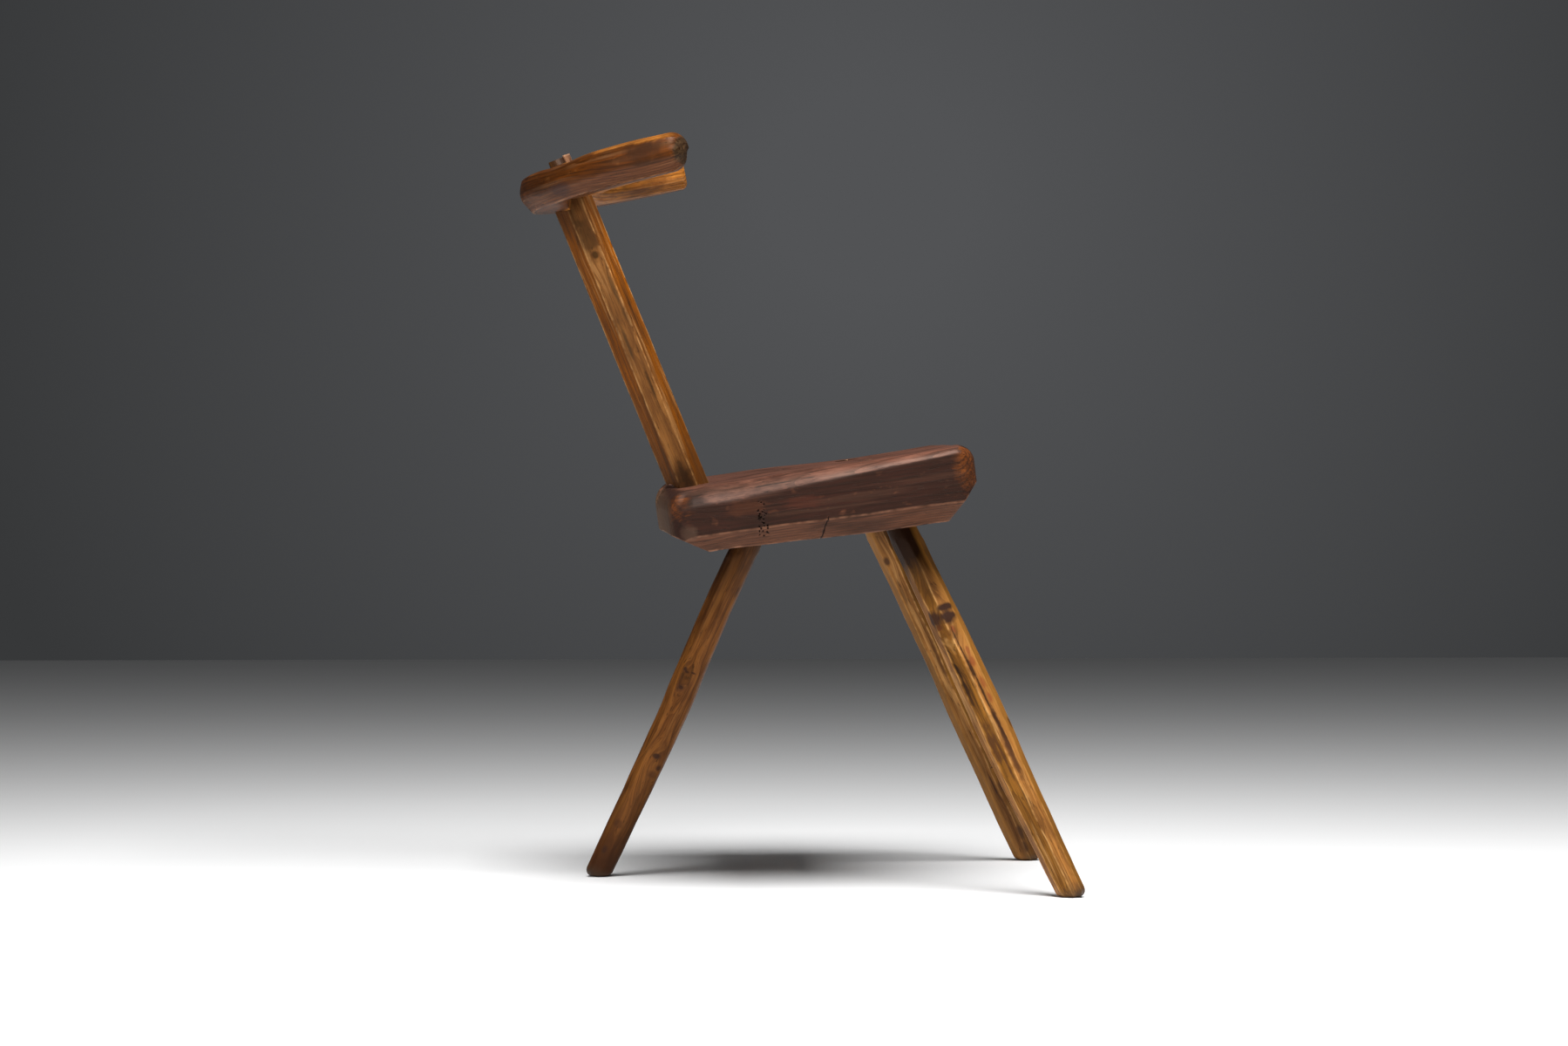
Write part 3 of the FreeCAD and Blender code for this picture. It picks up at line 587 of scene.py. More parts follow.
def stick_tree():
    """Tree of a hewn stick along the third axis, from a slanting foot face to a slanting top face."""
    tree, add, given = start_tree("hewn_stick", (
        "Length", "Foot Across", "Top Across", "Corner Cut", "Foot Slope X", "Foot Slope Y", "Top Slope X",
        "Top Slope Y", "Bow", "Sway", "Crook", "Hewing", "Arris", "Foot Round", "Shoulder", "Tenon Radius",
        "Tenon Taper", "Twist", "Belly", "Knot Rise", "Knot Turn", "Knot Swell", "Knot Size", "Seed", "Place",
        "Turn", "Wood",
    ))
    pole, angle, level = open_bar(add, 112, 230, 1.0)
    even = add("ADD", level, 0.5)
    wave = add("SINE", add("MULTIPLY", even, 2 * math.pi))
    # Rings lie closer together towards both ends, where the foot is rounded and the tenon starts.
    share = add("MULTIPLY_ADD", wave, -0.7 / (2 * math.pi), even)
    height = add("MULTIPLY", share, given["Length"])
    taper = add("SUBTRACT", given["Top Across"], given["Foot Across"])
    across = add("MULTIPLY_ADD", taper, share, given["Foot Across"])
    # The middle of the stick may be left thicker, as a belly.
    rise = add("DIVIDE", height, given["Shoulder"], use_clamp=True)
    middle = add("SINE", add("MULTIPLY", rise, math.pi))
    middle = add("MULTIPLY", middle, middle)
    across = add("MULTIPLY_ADD", middle, given["Belly"], across)
    half = add("MULTIPLY", across, 0.5)
    cut = add("MULTIPLY", given["Corner Cut"], across)
    stroke = add("MULTIPLY", height, 1 / (STROKE * MM))
    turned = add("SUBTRACT", angle, given["Twist"])
    radius, arris, gap = hewn_section(
        add, turned, half, half, EIGHT_SIDES, cut, stroke, given["Seed"], given["Hewing"], given["Arris"],
    )
    corner_face = add(RANGE, gap, -0.3 * MM, 0.3 * MM)

    # A knot swells the stick a little where a branch grew.
    off_turn = add("SUBTRACT", angle, given["Knot Turn"])
    off_turn = add("SUBTRACT", add("COSINE", off_turn), 1.0)
    slim = add("DIVIDE", half, given["Knot Size"])
    slim = add("POWER", slim, 2.0)
    off_rise = add("SUBTRACT", height, given["Knot Rise"])
    off_rise = add("DIVIDE", off_rise, given["Knot Size"])
    off_rise = add("MULTIPLY", add("POWER", off_rise, 2.0), -1.0)
    away = add("MULTIPLY", off_turn, 2.0)
    away = add("MULTIPLY_ADD", away, slim, off_rise)
    swell = add("EXPONENT", away)
    radius = add("MULTIPLY_ADD", swell, given["Knot Swell"], radius)

    # The foot is worn round where it meets the floor, most of all on its outer side.
    outer = add("MULTIPLY", add("COSINE", angle), -FOOT_SKEW)
    foot_round = add("MULTIPLY_ADD", outer, given["Foot Round"], given["Foot Round"])
    radius = add("SUBTRACT", radius, worn_back(add, height, foot_round))

    # Above the shoulder the stick is a round tenon that narrows upward.
    above = add("SUBTRACT", height, given["Shoulder"])
    narrow = add("MULTIPLY", above, given["Tenon Taper"])
    tenon = add("SUBTRACT", given["Tenon Radius"], narrow)
    in_tenon = add(RANGE, above, -4 * MM, 0.0, **SMOOTH)
    radius = add(MIX, {0: in_tenon, 2: radius, 3: tenon})

    # Slight bends, as the tree grew.
    x = add("MULTIPLY", radius, add("COSINE", angle))
    y = add("MULTIPLY", radius, add("SINE", angle))
    bent = x
    for turns, label in enumerate(("Bow", "Sway", "Crook"), start=1):
        bend = add("SINE", add("MULTIPLY", rise, turns * math.pi))
        bent = add("MULTIPLY_ADD", bend, given[label], bent)
    lift = height
    rest = add("SUBTRACT", 1.0, share)
    for end, part in (("Foot", rest), ("Top", share)):
        slope = add("MULTIPLY", given[f"{end} Slope X"], bent)
        slope = add("MULTIPLY_ADD", given[f"{end} Slope Y"], y, slope)
        lift = add("MULTIPLY_ADD", slope, part, lift)
    # The masks are stored before the points move, because they are worked out from the plain pole.
    shape = mark_points(add, pole, "arris", arris)
    shape = mark_points(add, shape, "zones", add(JOIN, corner_face), "FLOAT_VECTOR")
    place = add(JOIN, bent, y, lift)
    shape = add("GeometryNodeSetPosition", {"Geometry": shape, "Position": place})
    end_tree(add, shape, given)
    return tree


hewn_stick = stick_tree()


def end_slopes(place, foot_normal, top_normal):
    """Falls of a stick's two end faces along the first two axes of its place, as inputs of its tree."""
    slopes = {}
    for end, normal in (("Foot", foot_normal), ("Top", top_normal)):
        local = place.to_3x3().transposed() @ Vector(normal)
        slopes |= {f"{end} Slope X": -local.x / local.z, f"{end} Slope Y": -local.y / local.z}
    return slopes


SEAT_UP = SEAT_PLACE.to_3x3() @ Vector((0, 0, 1))
LEG_TONES = ("#8c5a1e", "#684210", "#46270b", "#241006", "#d6a262")
# The front legs' corner faces are painted lighter than their flat sides: painted light and shade on the
# facets.
LEG_CORNER_PAINTED_LIGHT_TONES = (("#a26c34", "#7e5023"),)
REAR_TONES = ("#975f28", "#71431a", "#48260e", "#261207", "#9a6832")
KNOT = "#2a1712"
BARK = "#76351a"
LEG_MARKS = {
    "front_right_leg": (
        ((-10.5, 10.2, 313.5), 8.5, 0.95, 0.5, KNOT), ((-10, 11, 302.5), 8.5, 0.95, 0.9, KNOT),
        ((2.4, 15.4, 307), 8.0, 0.9, 1.2, KNOT), ((0.5, 15.2, 296), 4.0, 0.8, 0.7, "#4a2410"),
        ((-9.5, 11.4, 290), 2.4, 0.7, 2.0, BARK), ((2.4, 15.6, 262), 1.7, 0.95, 12.0, "#1e0f06"),
        ((1.8, 15.8, 239), 2.6, 0.95, 7.0, "#1e0f06"), ((2.6, 15.9, 221), 1.8, 0.9, 9.0, "#2c180a"),
        ((-9.4, 13.0, 258), 1.2, 0.95, 36.0, "#2c180a"), ((-10.5, 12.0, 219), 1.7, 0.95, 24.0, "#2c180a"),
        ((-11.3, 10.8, 177), 2.3, 0.95, 16.0, "#321c10"), ((-10.4, 11.5, 145), 3.2, 0.85, 9.0, "#4a2c18"),
        ((2.0, 15.7, 169), 3.2, 0.85, 9.0, "#452814"), ((-3.0, 15.3, 160), 1.9, 0.8, 20.0, "#452814"),
        ((-13.2, 8.4, 264), 2.6, 0.6, 2.0, BARK), ((-13.2, 8.6, 252.7), 3.4, 0.7, 2.0, BARK),
        ((-13.2, 8.8, 230), 3.0, 0.6, 3.0, BARK), ((-13.2, 8.8, 213), 2.4, 0.6, 3.0, BARK),
        ((-15.4, -4.8, 184), 2.6, 0.8, 3.0, "#3c200c"), ((2, 14, 380), 4.0, 0.9, 6.0, "#1c0d06"),
    ),
    "front_left_leg": (
        ((2.7, 13.6, 117.5), 2.4, 0.8, 0.4, KNOT), ((-0.1, 13.5, 94), 5.0, 0.85, 1.6, KNOT),
        ((8.5, 10.7, 100), 1.6, 0.9, 10.0, KNOT), ((3.2, 13.4, 39), 4.0, 0.7, 2.5, KNOT),
        ((5.4, 13.3, 20), 3.4, 0.6, 2.5, KNOT), ((6.0, 12.0, 250), 1.8, 0.7, 20.0, "#4a2c14"),
        ((11.0, 9.0, 330), 1.8, 0.7, 16.0, "#4a2c14"), ((12, 8, 372), 4.0, 0.8, 1.5, KNOT),
    ),
    "rear_leg": (
        ((-3.3, -14.4, 234), 3.0, 0.85, 1.0, KNOT), ((-0.4, -14.4, 231.5), 3.2, 0.8, 0.6, KNOT),
        ((5.6, -13.6, 233), 2.8, 0.8, 0.5, KNOT), ((0.4, -14.5, 214.6), 4.8, 0.6, 0.9, "#4a2a18"),
        ((0.4, -14.5, 214.6), 2.6, 0.8, 0.8, KNOT), ((6.4, -13.2, 139.9), 4.4, 0.85, 0.7, KNOT),
        ((12.1, -8, 128.9), 3.8, 0.8, 1.0, KNOT), ((9.1, -10.6, 120.8), 6.5, 0.55, 0.7, "#3c2010"),
        ((-1, -13.2, 59.9), 6.5, 0.6, 0.8, "#3c2010"), ((-2.8, -13, 29.4), 3.6, 0.7, 1.5, KNOT),
        ((12.4, -8.4, 327.5), 2.4, 0.8, 3.0, KNOT), ((-13, -4, 150), 2.2, 0.7, 20.0, KNOT),
    ),
}
# Darkenings and lightenings along each leg. The tops are darker just under the seat: painted shadow, with
# some stain. The strips along the front right leg's right side and the front left leg's left side are painted
# light. The front left and rear legs are also darker towards the bottom.
LEG_STAINS_AND_PAINTED_LIGHT = {
    "front_right_leg": ((2, 328, 388, "#1e0d04", 1.7), (0, -11.5, -14.5, "#a06a2c", 0.7)),
    "front_left_leg": (
        (2, 370, 410, "#2a1507", 1.0), (2, 230, 130, "#3c210c", 0.7), (0, 11, 14, "#a8743a", 0.8),
    ),
    "rear_leg": ((2, 290, 360, "#241006", 1.0), (2, 190, 20, "#3a1e0b", 1.1)),
}
FLOOR_DIRT = (2, 13, -3, "#3e3024", 1.2)
legs = {}
leg_woods = {}
for name, size in LEGS.items():
    foot = Vector((*size["foot"], 0.0)) * MM
    axis = Vector(size["socket"]) * MM - foot
    below_seat = axis.length / MM
    axis.normalize()
    turn = Euler((0, math.acos(axis.z), math.atan2(axis.y, axis.x)))
    place = Matrix.Translation(foot) @ turn.to_matrix().to_4x4()
    leg_length = below_seat + SEAT_THICKNESS / axis.dot(SEAT_UP)
    knot_rise, knot_turn, knot_swell, knot_size = size["knot"]
    bow, sway, crook = size["bends"]
    # Spruce pole, hewn and waxed: honey brown, with dark streaks along the grain and pale worn arrises.
    # The front legs' facets and side strips, and each leg's top under the seat, also carry painted light and
    # shade.
    leg_woods[name] = old_wood(
        f"spruce_hewn_waxed_{name}", REAR_TONES if name == "rear_leg" else LEG_TONES, place=place,
        zones=() if name == "rear_leg" else LEG_CORNER_PAINTED_LIGHT_TONES, marks=LEG_MARKS[name],
        shades=(*LEG_STAINS_AND_PAINTED_LIGHT[name], FLOOR_DIRT), pith=(5, 3), rings=3.0, wear=size["wear"], gloss=0.17,
        wax=0.03,
    )
    legs[name] = run_tree(f"{name}_hewn", hewn_stick, foot, turn, leg_woods[name], {
        "Length": leg_length, "Foot Across": size["foot_across"], "Top Across": size["across"], "Bow": bow,
        "Sway": sway, "Crook": crook, "Belly": size["belly"], "Hewing": LEG_HEWING, "Arris": size["arris"],
        "Foot Round": FOOT_ROUND, "Shoulder": below_seat - LEG_SHOULDER_DROP,
        "Tenon Radius": TENON_RADIUS + LEG_SHOULDER_DROP * TENON_TAPER,
        "Knot Rise": knot_rise, "Knot Swell": knot_swell, "Knot Size": knot_size,
    }, {
        "Corner Cut": CORNER_CUT, "Tenon Taper": TENON_TAPER, "Twist": math.radians(size["twist"]),
        "Knot Turn": math.radians(knot_turn), "Seed": float(size["seed"]),
        **end_slopes(place, (0, 0, 1), SEAT_UP),
    })
    # The socket is cut by a stick that is nearly all tenon, a little wider than the leg's and longer.
    seat_tools.append(run_tree(f"{name}_socket", hewn_stick, foot, turn, leg_woods[name], {
        "Length": leg_length + SOCKET_PAST, "Foot Across": SOCKET_ACROSS, "Top Across": SOCKET_ACROSS,
        "Shoulder": SOCKET_SHOULDER, "Arris": 1, "Knot Size": 1,
        "Tenon Radius": TENON_RADIUS + SOCKET_PLAY + (below_seat - SOCKET_SHOULDER) * TENON_TAPER,
    }, {"Corner Cut": 0.2, "Tenon Taper": TENON_TAPER, "Seed": 1.0}))


def wear_flush(piece, stand=0.25):
    """Brings what stands above the seat down to its worn top."""
    home = SEAT_PLACE.inverted()
    for point in piece.data.vertices:
        local = (home @ point.co) / MM
        top = float(seat_top(local.x, local.y)) + stand
        if local.z > top:
            local.z = top
            point.co = SEAT_PLACE @ (local * MM)


# Wedges: split slips of ash. One is driven into the top of each leg's tenon, one spreads the blind foot of
# the post, and one is driven beside the post's upper tenon, where its tip shows above the rail.
# Split ash, never stained: pale and pinkish, with fine fibres that follow the split.
WEDGE_TONES = ("#b08868", "#92684a", "#6c4830", "#42281a", "#c8a488")
WEDGES = ("front_right_leg_wedge", "front_left_leg_wedge", "rear_leg_wedge", "post_foot_wedge")
LOOSE = 0.02 * MM


def cad_copy(node):
    """Closed copy of a CAD node's mesh, in the shared frame."""
    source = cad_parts[node]
    copy = bpy.data.objects.new(f"{node}_split", source.data.copy())
    copy.data.transform(source.matrix_world)
    shell = bmesh.new()
    shell.from_mesh(copy.data)
    bmesh.ops.remove_doubles(shell, verts=shell.verts, dist=LOOSE)
    shell.to_mesh(copy.data)
    shell.free()
    bpy.context.scene.collection.objects.link(copy)
    return copy


wedges = {node: cad_copy(node) for node in WEDGES}
for name, leg in legs.items():
    carve(leg, [wedges[f"{name}_wedge"]])
    wear_flush(leg)
    wear_flush(wedges[f"{name}_wedge"], 0.35)
    dress(leg, leg_woods[name], name)

# Back post: one straight stick of larch, hewn to eight even sides with crisp arrises.
# A blind tenon holds it in the seat, and a second tenon goes up through the crest rail, which rests on the
# shoulder behind that tenon. The front cheek climbs a little way up in front of the rail.
POST_AT = (0.0, 108.32, 406.54)
POST_LEAN = 22.1
POST_LENGTH = 302.5
POST_ACROSS = 41.0
POST_SUNK = 9.0
POST_CHEEK = 18.0
CREST_TILT = 12.4
CREST_TURN = -1.4
CREST_ROLL = 0.75
CREST_HEIGHT = 41.0
TENON_PROUD = 6.8
POST_PLACE = Matrix.Translation([v * MM for v in POST_AT]) @ Matrix.Rotation(math.radians(-POST_LEAN), 4, "X")
CREST_PLACE = POST_PLACE @ Matrix.Translation((0, 0, POST_LENGTH * MM))
for degrees, axis in ((POST_LEAN - CREST_TILT, "X"), (CREST_TURN, "Z"), (CREST_ROLL, "Y")):
    CREST_PLACE = CREST_PLACE @ Matrix.Rotation(math.radians(degrees), 4, axis)
CREST_UP = CREST_PLACE.to_3x3() @ Vector((0, 0, 1))
TENON_TOP = POST_LENGTH + CREST_HEIGHT / math.cos(math.radians(POST_LEAN - CREST_TILT)) + TENON_PROUD
HEAD_LOW = (-14.0, -15.0, POST_LENGTH - 10)
HEAD_HIGH = (14.0, 8.0, TENON_TOP)
FOOT_LOW = (-13.0, -13.0, -44.0)
FOOT_HIGH = (13.0, 13.0, 10.0)
SHOULDER_LOW = (-40.0, 8.4, POST_LENGTH)
SHOULDER_HIGH = (40.0, 58.4, POST_LENGTH + 80)
# Larch stick, hewn and waxed: orange brown on the corner faces, paler on the others, with pale worn arrises.
post_wood = old_wood(
    "larch_hewn_waxed_post", ("#9c6834", "#744a26", "#543218", "#2e1c0d", "#c4925a"), place=POST_PLACE,
    zones=(("#8c4c0a", "#6a3806"),), pith=(30, 4), rings=3.4, wear=0.9, gloss=0.15, wax=0.02,
    shades=(
        (2, 50, 4, "#2a180c", 0.55), (2, 180, 60, "#4c2c10", 0.5), (2, 235, 300, "#3c2008", 0.8),
        (2, 318, 330, "#2a180c", 1.2),
    ),
    marks=(
        ((-20.5, -0.5, 247), 5.0, 0.85, 1.0, "#33200c"), ((-20.5, 2, 266), 10.5, 0.75, 2.2, "#3a2410"),
        ((-20.5, 5, 286), 4.0, 0.6, 4.0, "#3a2410"), ((-20.5, -5, 200), 2.0, 0.6, 14.0, "#43301c"),
        ((-20.5, 0, 3), 9.0, 0.8, 2.2, "#20130a"), ((-20.5, 3, 150), 2.0, 0.7, 12.0, "#43301c"),
        ((-20.5, -3, 105), 1.8, 0.8, 14.0, "#33200f"),
    ),
)
post_slopes = end_slopes(POST_PLACE, SEAT_UP, CREST_UP)
post_start = POST_PLACE @ Vector((0, 0, -POST_SUNK * MM))
back_post = run_tree("back_post_hewn", hewn_stick, post_start, POST_PLACE.to_euler(), post_wood, {
    "Length": POST_LENGTH + POST_CHEEK + POST_SUNK, "Foot Across": POST_ACROSS, "Top Across": POST_ACROSS,
    "Bow": 0.5, "Sway": 0.3, "Hewing": 1.4, "Arris": 0.8, "Shoulder": 2 * POST_LENGTH, "Tenon Radius": 10,
    "Knot Rise": 250, "Knot Swell": 0.5, "Knot Size": 8,
}, {"Corner Cut": CORNER_CUT, **post_slopes, "Knot Turn": math.pi, "Seed": 51.0})

# The crest wedge stands in front of the upper tenon, and its tip is split and uneven.
WEDGE_LENGTH = 46.0
WEDGE_WIDE = 28.0
WEDGE_THICK = (2.5, 7.5)
WEDGE_PROUD = 0.4
wedge, wedge_faces = block_lattice((10, 5, 26))
wedge_points = np.stack([
    WEDGE_WIDE * (wedge[:, 0] - 0.5),
    HEAD_LOW[1] + wedge[:, 1] * np.interp(wedge[:, 2], (0, 1), WEDGE_THICK),
    TENON_TOP + WEDGE_PROUD - WEDGE_LENGTH + WEDGE_LENGTH * wedge[:, 2],
], axis=1)
wedge_points[:, 2] += 1.3 * ramp(wedge[:, 2], 0.8, 1) * hand_wobble(wedge_points[:, :2], 7, 91)
wedges["crest_wedge"] = new_piece("crest_wedge_split", to_place(wedge_points, POST_PLACE), wedge_faces)
tenons = [
    add_block("head_tenon", HEAD_LOW, HEAD_HIGH, POST_PLACE),
    add_block("foot_tenon", FOOT_LOW, FOOT_HIGH, POST_PLACE),
]
carve(back_post, tenons, "UNION")
discard(tenons)
top_slope = (post_slopes["Top Slope X"], post_slopes["Top Slope Y"])
rear_shoulder = add_block("rear_shoulder", SHOULDER_LOW, SHOULDER_HIGH, POST_PLACE, top_slope)
carve(back_post, [rear_shoulder, wedges["crest_wedge"], wedges["post_foot_wedge"]])
discard([rear_shoulder])
dress(back_post, post_wood, "back_post")
for node, wedge_piece in wedges.items():
    upright = POST_PLACE if "leg" not in node else SEAT_PLACE
    wedge_wood = old_wood(
        f"ash_split_{node}", WEDGE_TONES, place=upright, fibre=1.1, rings=2.4, pith=(12, 4), relief=0.2,
    )
    dress(wedge_piece, wedge_wood, node)

# Worm holes: beetles have drilled small round holes into the near side of the seat, in an upright strip.
# Each is an open bore of up to 2 mm, cut by a pin that starts outside the plank.
HOLE_COUNT = 34
HOLE_STRIP = (9.0, 36.0)
HOLE_AT = (3 - SEAT_HALF_WIDTH, 62, -46)
PIN_RADIUS = 0.9
PIN_LENGTH = 14.0


def worm_tree():
    """Tree of small pins, scattered over a strip of the seat's near side, that drill the holes."""
    labels = ("Count", "Strip Length", "Strip Height", "Pin Radius", "Pin Length", "Place", "Turn", "Wood")
    tree, add, given = start_tree("worm_holes", labels)
    index = add("GeometryNodeInputIndex")
    places = []
    for seed, label in ((3, "Strip Length"), (5, "Strip Height")):
        chance = add("FunctionNodeRandomValue", {"Min": -0.5, "Max": 0.5, "ID": index, "Seed": seed})
        places.append(add("MULTIPLY", chance.outputs[1], given[label]))
    spot = add(JOIN, 0.0, *places)
    count = add("FunctionNodeFloatToInt", given["Count"])
    points = add("GeometryNodePoints", {"Count": count, "Position": spot})
    pin = add("GeometryNodeMeshCylinder", {
        "Vertices": 10, "Radius": given["Pin Radius"], "Depth": given["Pin Length"],
    })
    size = add("FunctionNodeRandomValue", {"Min": 0.55, "Max": 1.1, "ID": index, "Seed": 9})
    pins = add("GeometryNodeInstanceOnPoints", {
        "Points": points, "Instance": pin.outputs["Mesh"], "Rotation": (0, math.pi / 2, 0),
        "Scale": add(JOIN, size.outputs[1], size.outputs[1], 1.0),
    })
    end_tree(add, pins, given)
    return tree


hole_place = SEAT_PLACE @ Vector([v * MM for v in HOLE_AT])
seat_tools.append(run_tree(
    "worm_holes", worm_tree(), hole_place, SEAT_PLACE.to_euler(), seat_wood, {
        "Strip Length": HOLE_STRIP[0], "Strip Height": HOLE_STRIP[1], "Pin Radius": PIN_RADIUS,
        "Pin Length": PIN_LENGTH,
    }, {"Count": float(HOLE_COUNT)},
))

# The seat gets its sockets, the crack, the worm holes and the post's blind mortise.
MORTISE_LOW = (-13.2, -13.2, -44.5)
MORTISE_HIGH = (13.2, 13.2, 40.0)
mortise = add_block("post_mortise", MORTISE_LOW, MORTISE_HIGH, POST_PLACE)
carve(seat_plank, seat_tools + [mortise, back_post])
discard(seat_tools + [mortise])
dress(seat_plank, seat_wood, "seat_plank")

# Crest rail: one naturally bent piece of ash, hewn to a crescent that holds the sitter's back.
# Its top is worn round, its outer face has a steep lower bevel, and the post's tenon goes through it.
# Each arc has its half width and its apex, and both arcs end on one line.
CREST_OUTER = (176.0, 51.5)
CREST_INNER = (142.0, -16.5)
CREST_END = -123.0
CREST_STROKE = 80.0
# Direction of each side of the section, its share of the corner cut, and whether it takes a corner off.
CREST_SIDES = (
    (0, 0.0, 0), (28, 0.95, 1), (62, 1.05, 1), (90, 0.0, 0), (132, 0.9, 1), (180, 0.0, 0), (225, 0.8, 1),
    (270, 0.0, 0), (-30, 1.0, 1),
)


def arc_of(half_width, apex):
    """Radius, centre and end angle of the arc through both ends and the apex of the crescent."""
    rise = apex - CREST_END
    radius = (half_width ** 2 + rise ** 2) / (2 * rise)
    centre = apex - radius
    return radius, centre, math.atan2(half_width, CREST_END - centre)


def bell(add, offset):
    """Smooth bump, 1 where the offset is 0 and nearly nothing from 2 on."""
    square = add("MULTIPLY", offset, offset)
    return add("EXPONENT", add("MULTIPLY", square, -1.0))


def crest_tree():
    """Tree of the crescent rail, swept from one end to the other between its outer and inner arcs."""
    tree, add, given = start_tree("crescent_rail", (
        "Outer Radius", "Outer Centre", "Outer Angle", "Inner Radius", "Inner Centre", "Inner Angle",
        "Height", "Corner Cut", "Near Round", "Far Round", "Corner Round", "Half Path", "Near Slant",
        "Far Short", "Dip", "Dip Place", "Dip Width", "Back Fall", "Apex Sag", "Apex Lift", "Near Thin",
        "Hewing", "Seed", "Place", "Turn", "Wood",
    ))
    bar, angle, level = open_bar(add, 128, 280, 2.0)
    rise = add("SINE", angle)
    reach = add("COSINE", angle)
    # The share runs from -1 at the near end to 1 at the far end. Rings lie closer together at both ends.
    wave = add("SINE", add("MULTIPLY", level, math.pi))
    share = add("MULTIPLY_ADD", wave, 0.75 / math.pi, level)
    to_end = add("SUBTRACT", 1.0, add("ABSOLUTE", share))
    to_end = add("MULTIPLY", to_end, given["Half Path"])
    far_side = add("GREATER_THAN", share, 0.0)
    near_side = add("SUBTRACT", 1.0, far_side)

    # The near end is sawn off plumb, so its lower side is shorter, and the far end is a little shorter too.
    slant = add(RANGE, share, -0.78, -1.0, **SMOOTH)
    low = add("MULTIPLY", add("MULTIPLY", rise, -0.5), given["Near Slant"])
    short = add(RANGE, share, 0.7, 1.0, **SMOOTH)
    short = add("MULTIPLY", short, given["Far Short"])
    shift = add("SUBTRACT", add("MULTIPLY", low, slant), short)
    share = add("ADD", share, add("DIVIDE", shift, given["Half Path"]))
    along = add("MULTIPLY", share, given["Half Path"])
    edges = []
    for label in ("Outer", "Inner"):
        swing = add("MULTIPLY", share, given[f"{label} Angle"])
        sine = add("SINE", swing)
        cosine = add("COSINE", swing)
        x = add("MULTIPLY", sine, given[f"{label} Radius"])
        y = add("MULTIPLY_ADD", cosine, given[f"{label} Radius"], given[f"{label} Centre"])
        edges.append(add(JOIN, x, y))
    across = add(VECTOR, *edges, operation="SUBTRACT")
    middle = add(VECTOR, add(VECTOR, *edges, operation="ADD"), (0.5, 0.5, 0.5), operation="MULTIPLY")
    outward = add(VECTOR, across, operation="NORMALIZE")
    width = add(VECTOR, across, operation="LENGTH").outputs["Value"]
    half_width = add("MULTIPLY", width, 0.5)
    half_height = add("MULTIPLY", given["Height"], 0.5)
    stroke = add("MULTIPLY", along, 1 / (CREST_STROKE * MM))
    softness = add(RANGE, rise, -0.25, 0.35, 2.5 * MM, 9 * MM)
    radius, arris, gap = hewn_section(
        add, angle, half_width, half_height, CREST_SIDES, given["Corner Cut"], stroke, given["Seed"],
        given["Hewing"], softness,
    )

    # Masks for the wood: the lower arris, the lower bevel, the inner face with its rim, and the near end.
    low_arris = add("MULTIPLY", arris, add(RANGE, rise, -0.35, -0.6))
    bevel = add(RANGE, gap, -0.5 * MM, 2 * MM)
    for field, none, full in ((rise, 0.0, -0.12), (reach, -0.1, 0.1)):
        bevel = add("MULTIPLY", bevel, add(RANGE, field, none, full))
    rim = add(RANGE, rise, 0.6, 0.92, 0.0, 0.8)
    for field, none, full in ((to_end, 8 * MM, 30 * MM), (share, -0.25, -0.5)):
        rim = add("MULTIPLY", rim, add(RANGE, field, none, full))
    inner = add("MAXIMUM", add(RANGE, reach, -0.15, -0.35), rim)
    facet = add("MULTIPLY_ADD", add("MULTIPLY", rise, rise), 8 * MM, to_end)
    cap = add("MULTIPLY", add(RANGE, facet, 15 * MM, 10 * MM), near_side)

    # Both ends are rounded over on every side, and the near one more, most of all on top.
    end_round = add(MIX, {0: far_side, 2: given["Near Round"], 3: given["Far Round"]})
    worn = worn_back(add, to_end, end_round)
    kept = add("SUBTRACT", 1.0, add("DIVIDE", worn, half_height))
    radius = add("MULTIPLY", radius, kept)
    out = add("MULTIPLY", radius, reach)
    up = add("MULTIPLY", radius, rise)
    sink = add("MULTIPLY", add("MULTIPLY", worn, near_side), -0.05)
    up = add("ADD", up, sink)

    # From below, the near arm is hewn thinner. At the apex the rail is heavier, and stepped over the cheek.
    thin = add(RANGE, share, -0.3, -0.6, 0.0, given["Near Thin"], **SMOOTH)
    low_half = add("DIVIDE", add("MINIMUM", up, 0.0), half_height)
    up = add("SUBTRACT", up, add("MULTIPLY", low_half, thin))
    off_apex = add("DIVIDE", share, 0.33)
    at_apex = add("ABSOLUTE", off_apex)
    at_apex = add(RANGE, at_apex, 1.3, 0.7, **SMOOTH)
    heavy = add(RANGE, out, 22 * MM, -8 * MM, 0.0, given["Apex Sag"])
    plan = add(VECTOR, {"Vector": outward, "Scale": out}, operation="SCALE")
    plan = add(SPLIT, add(VECTOR, plan, middle, operation="ADD"))
    step = add(RANGE, plan.outputs["Y"], 4.5 * MM, 0.5 * MM)
    lifted = add("MULTIPLY", given["Apex Lift"], -1.0)
    heavy = add("MULTIPLY", add(MIX, {0: step, 2: heavy, 3: lifted}), at_apex)
    up = add("MULTIPLY_ADD", low_half, heavy, up)

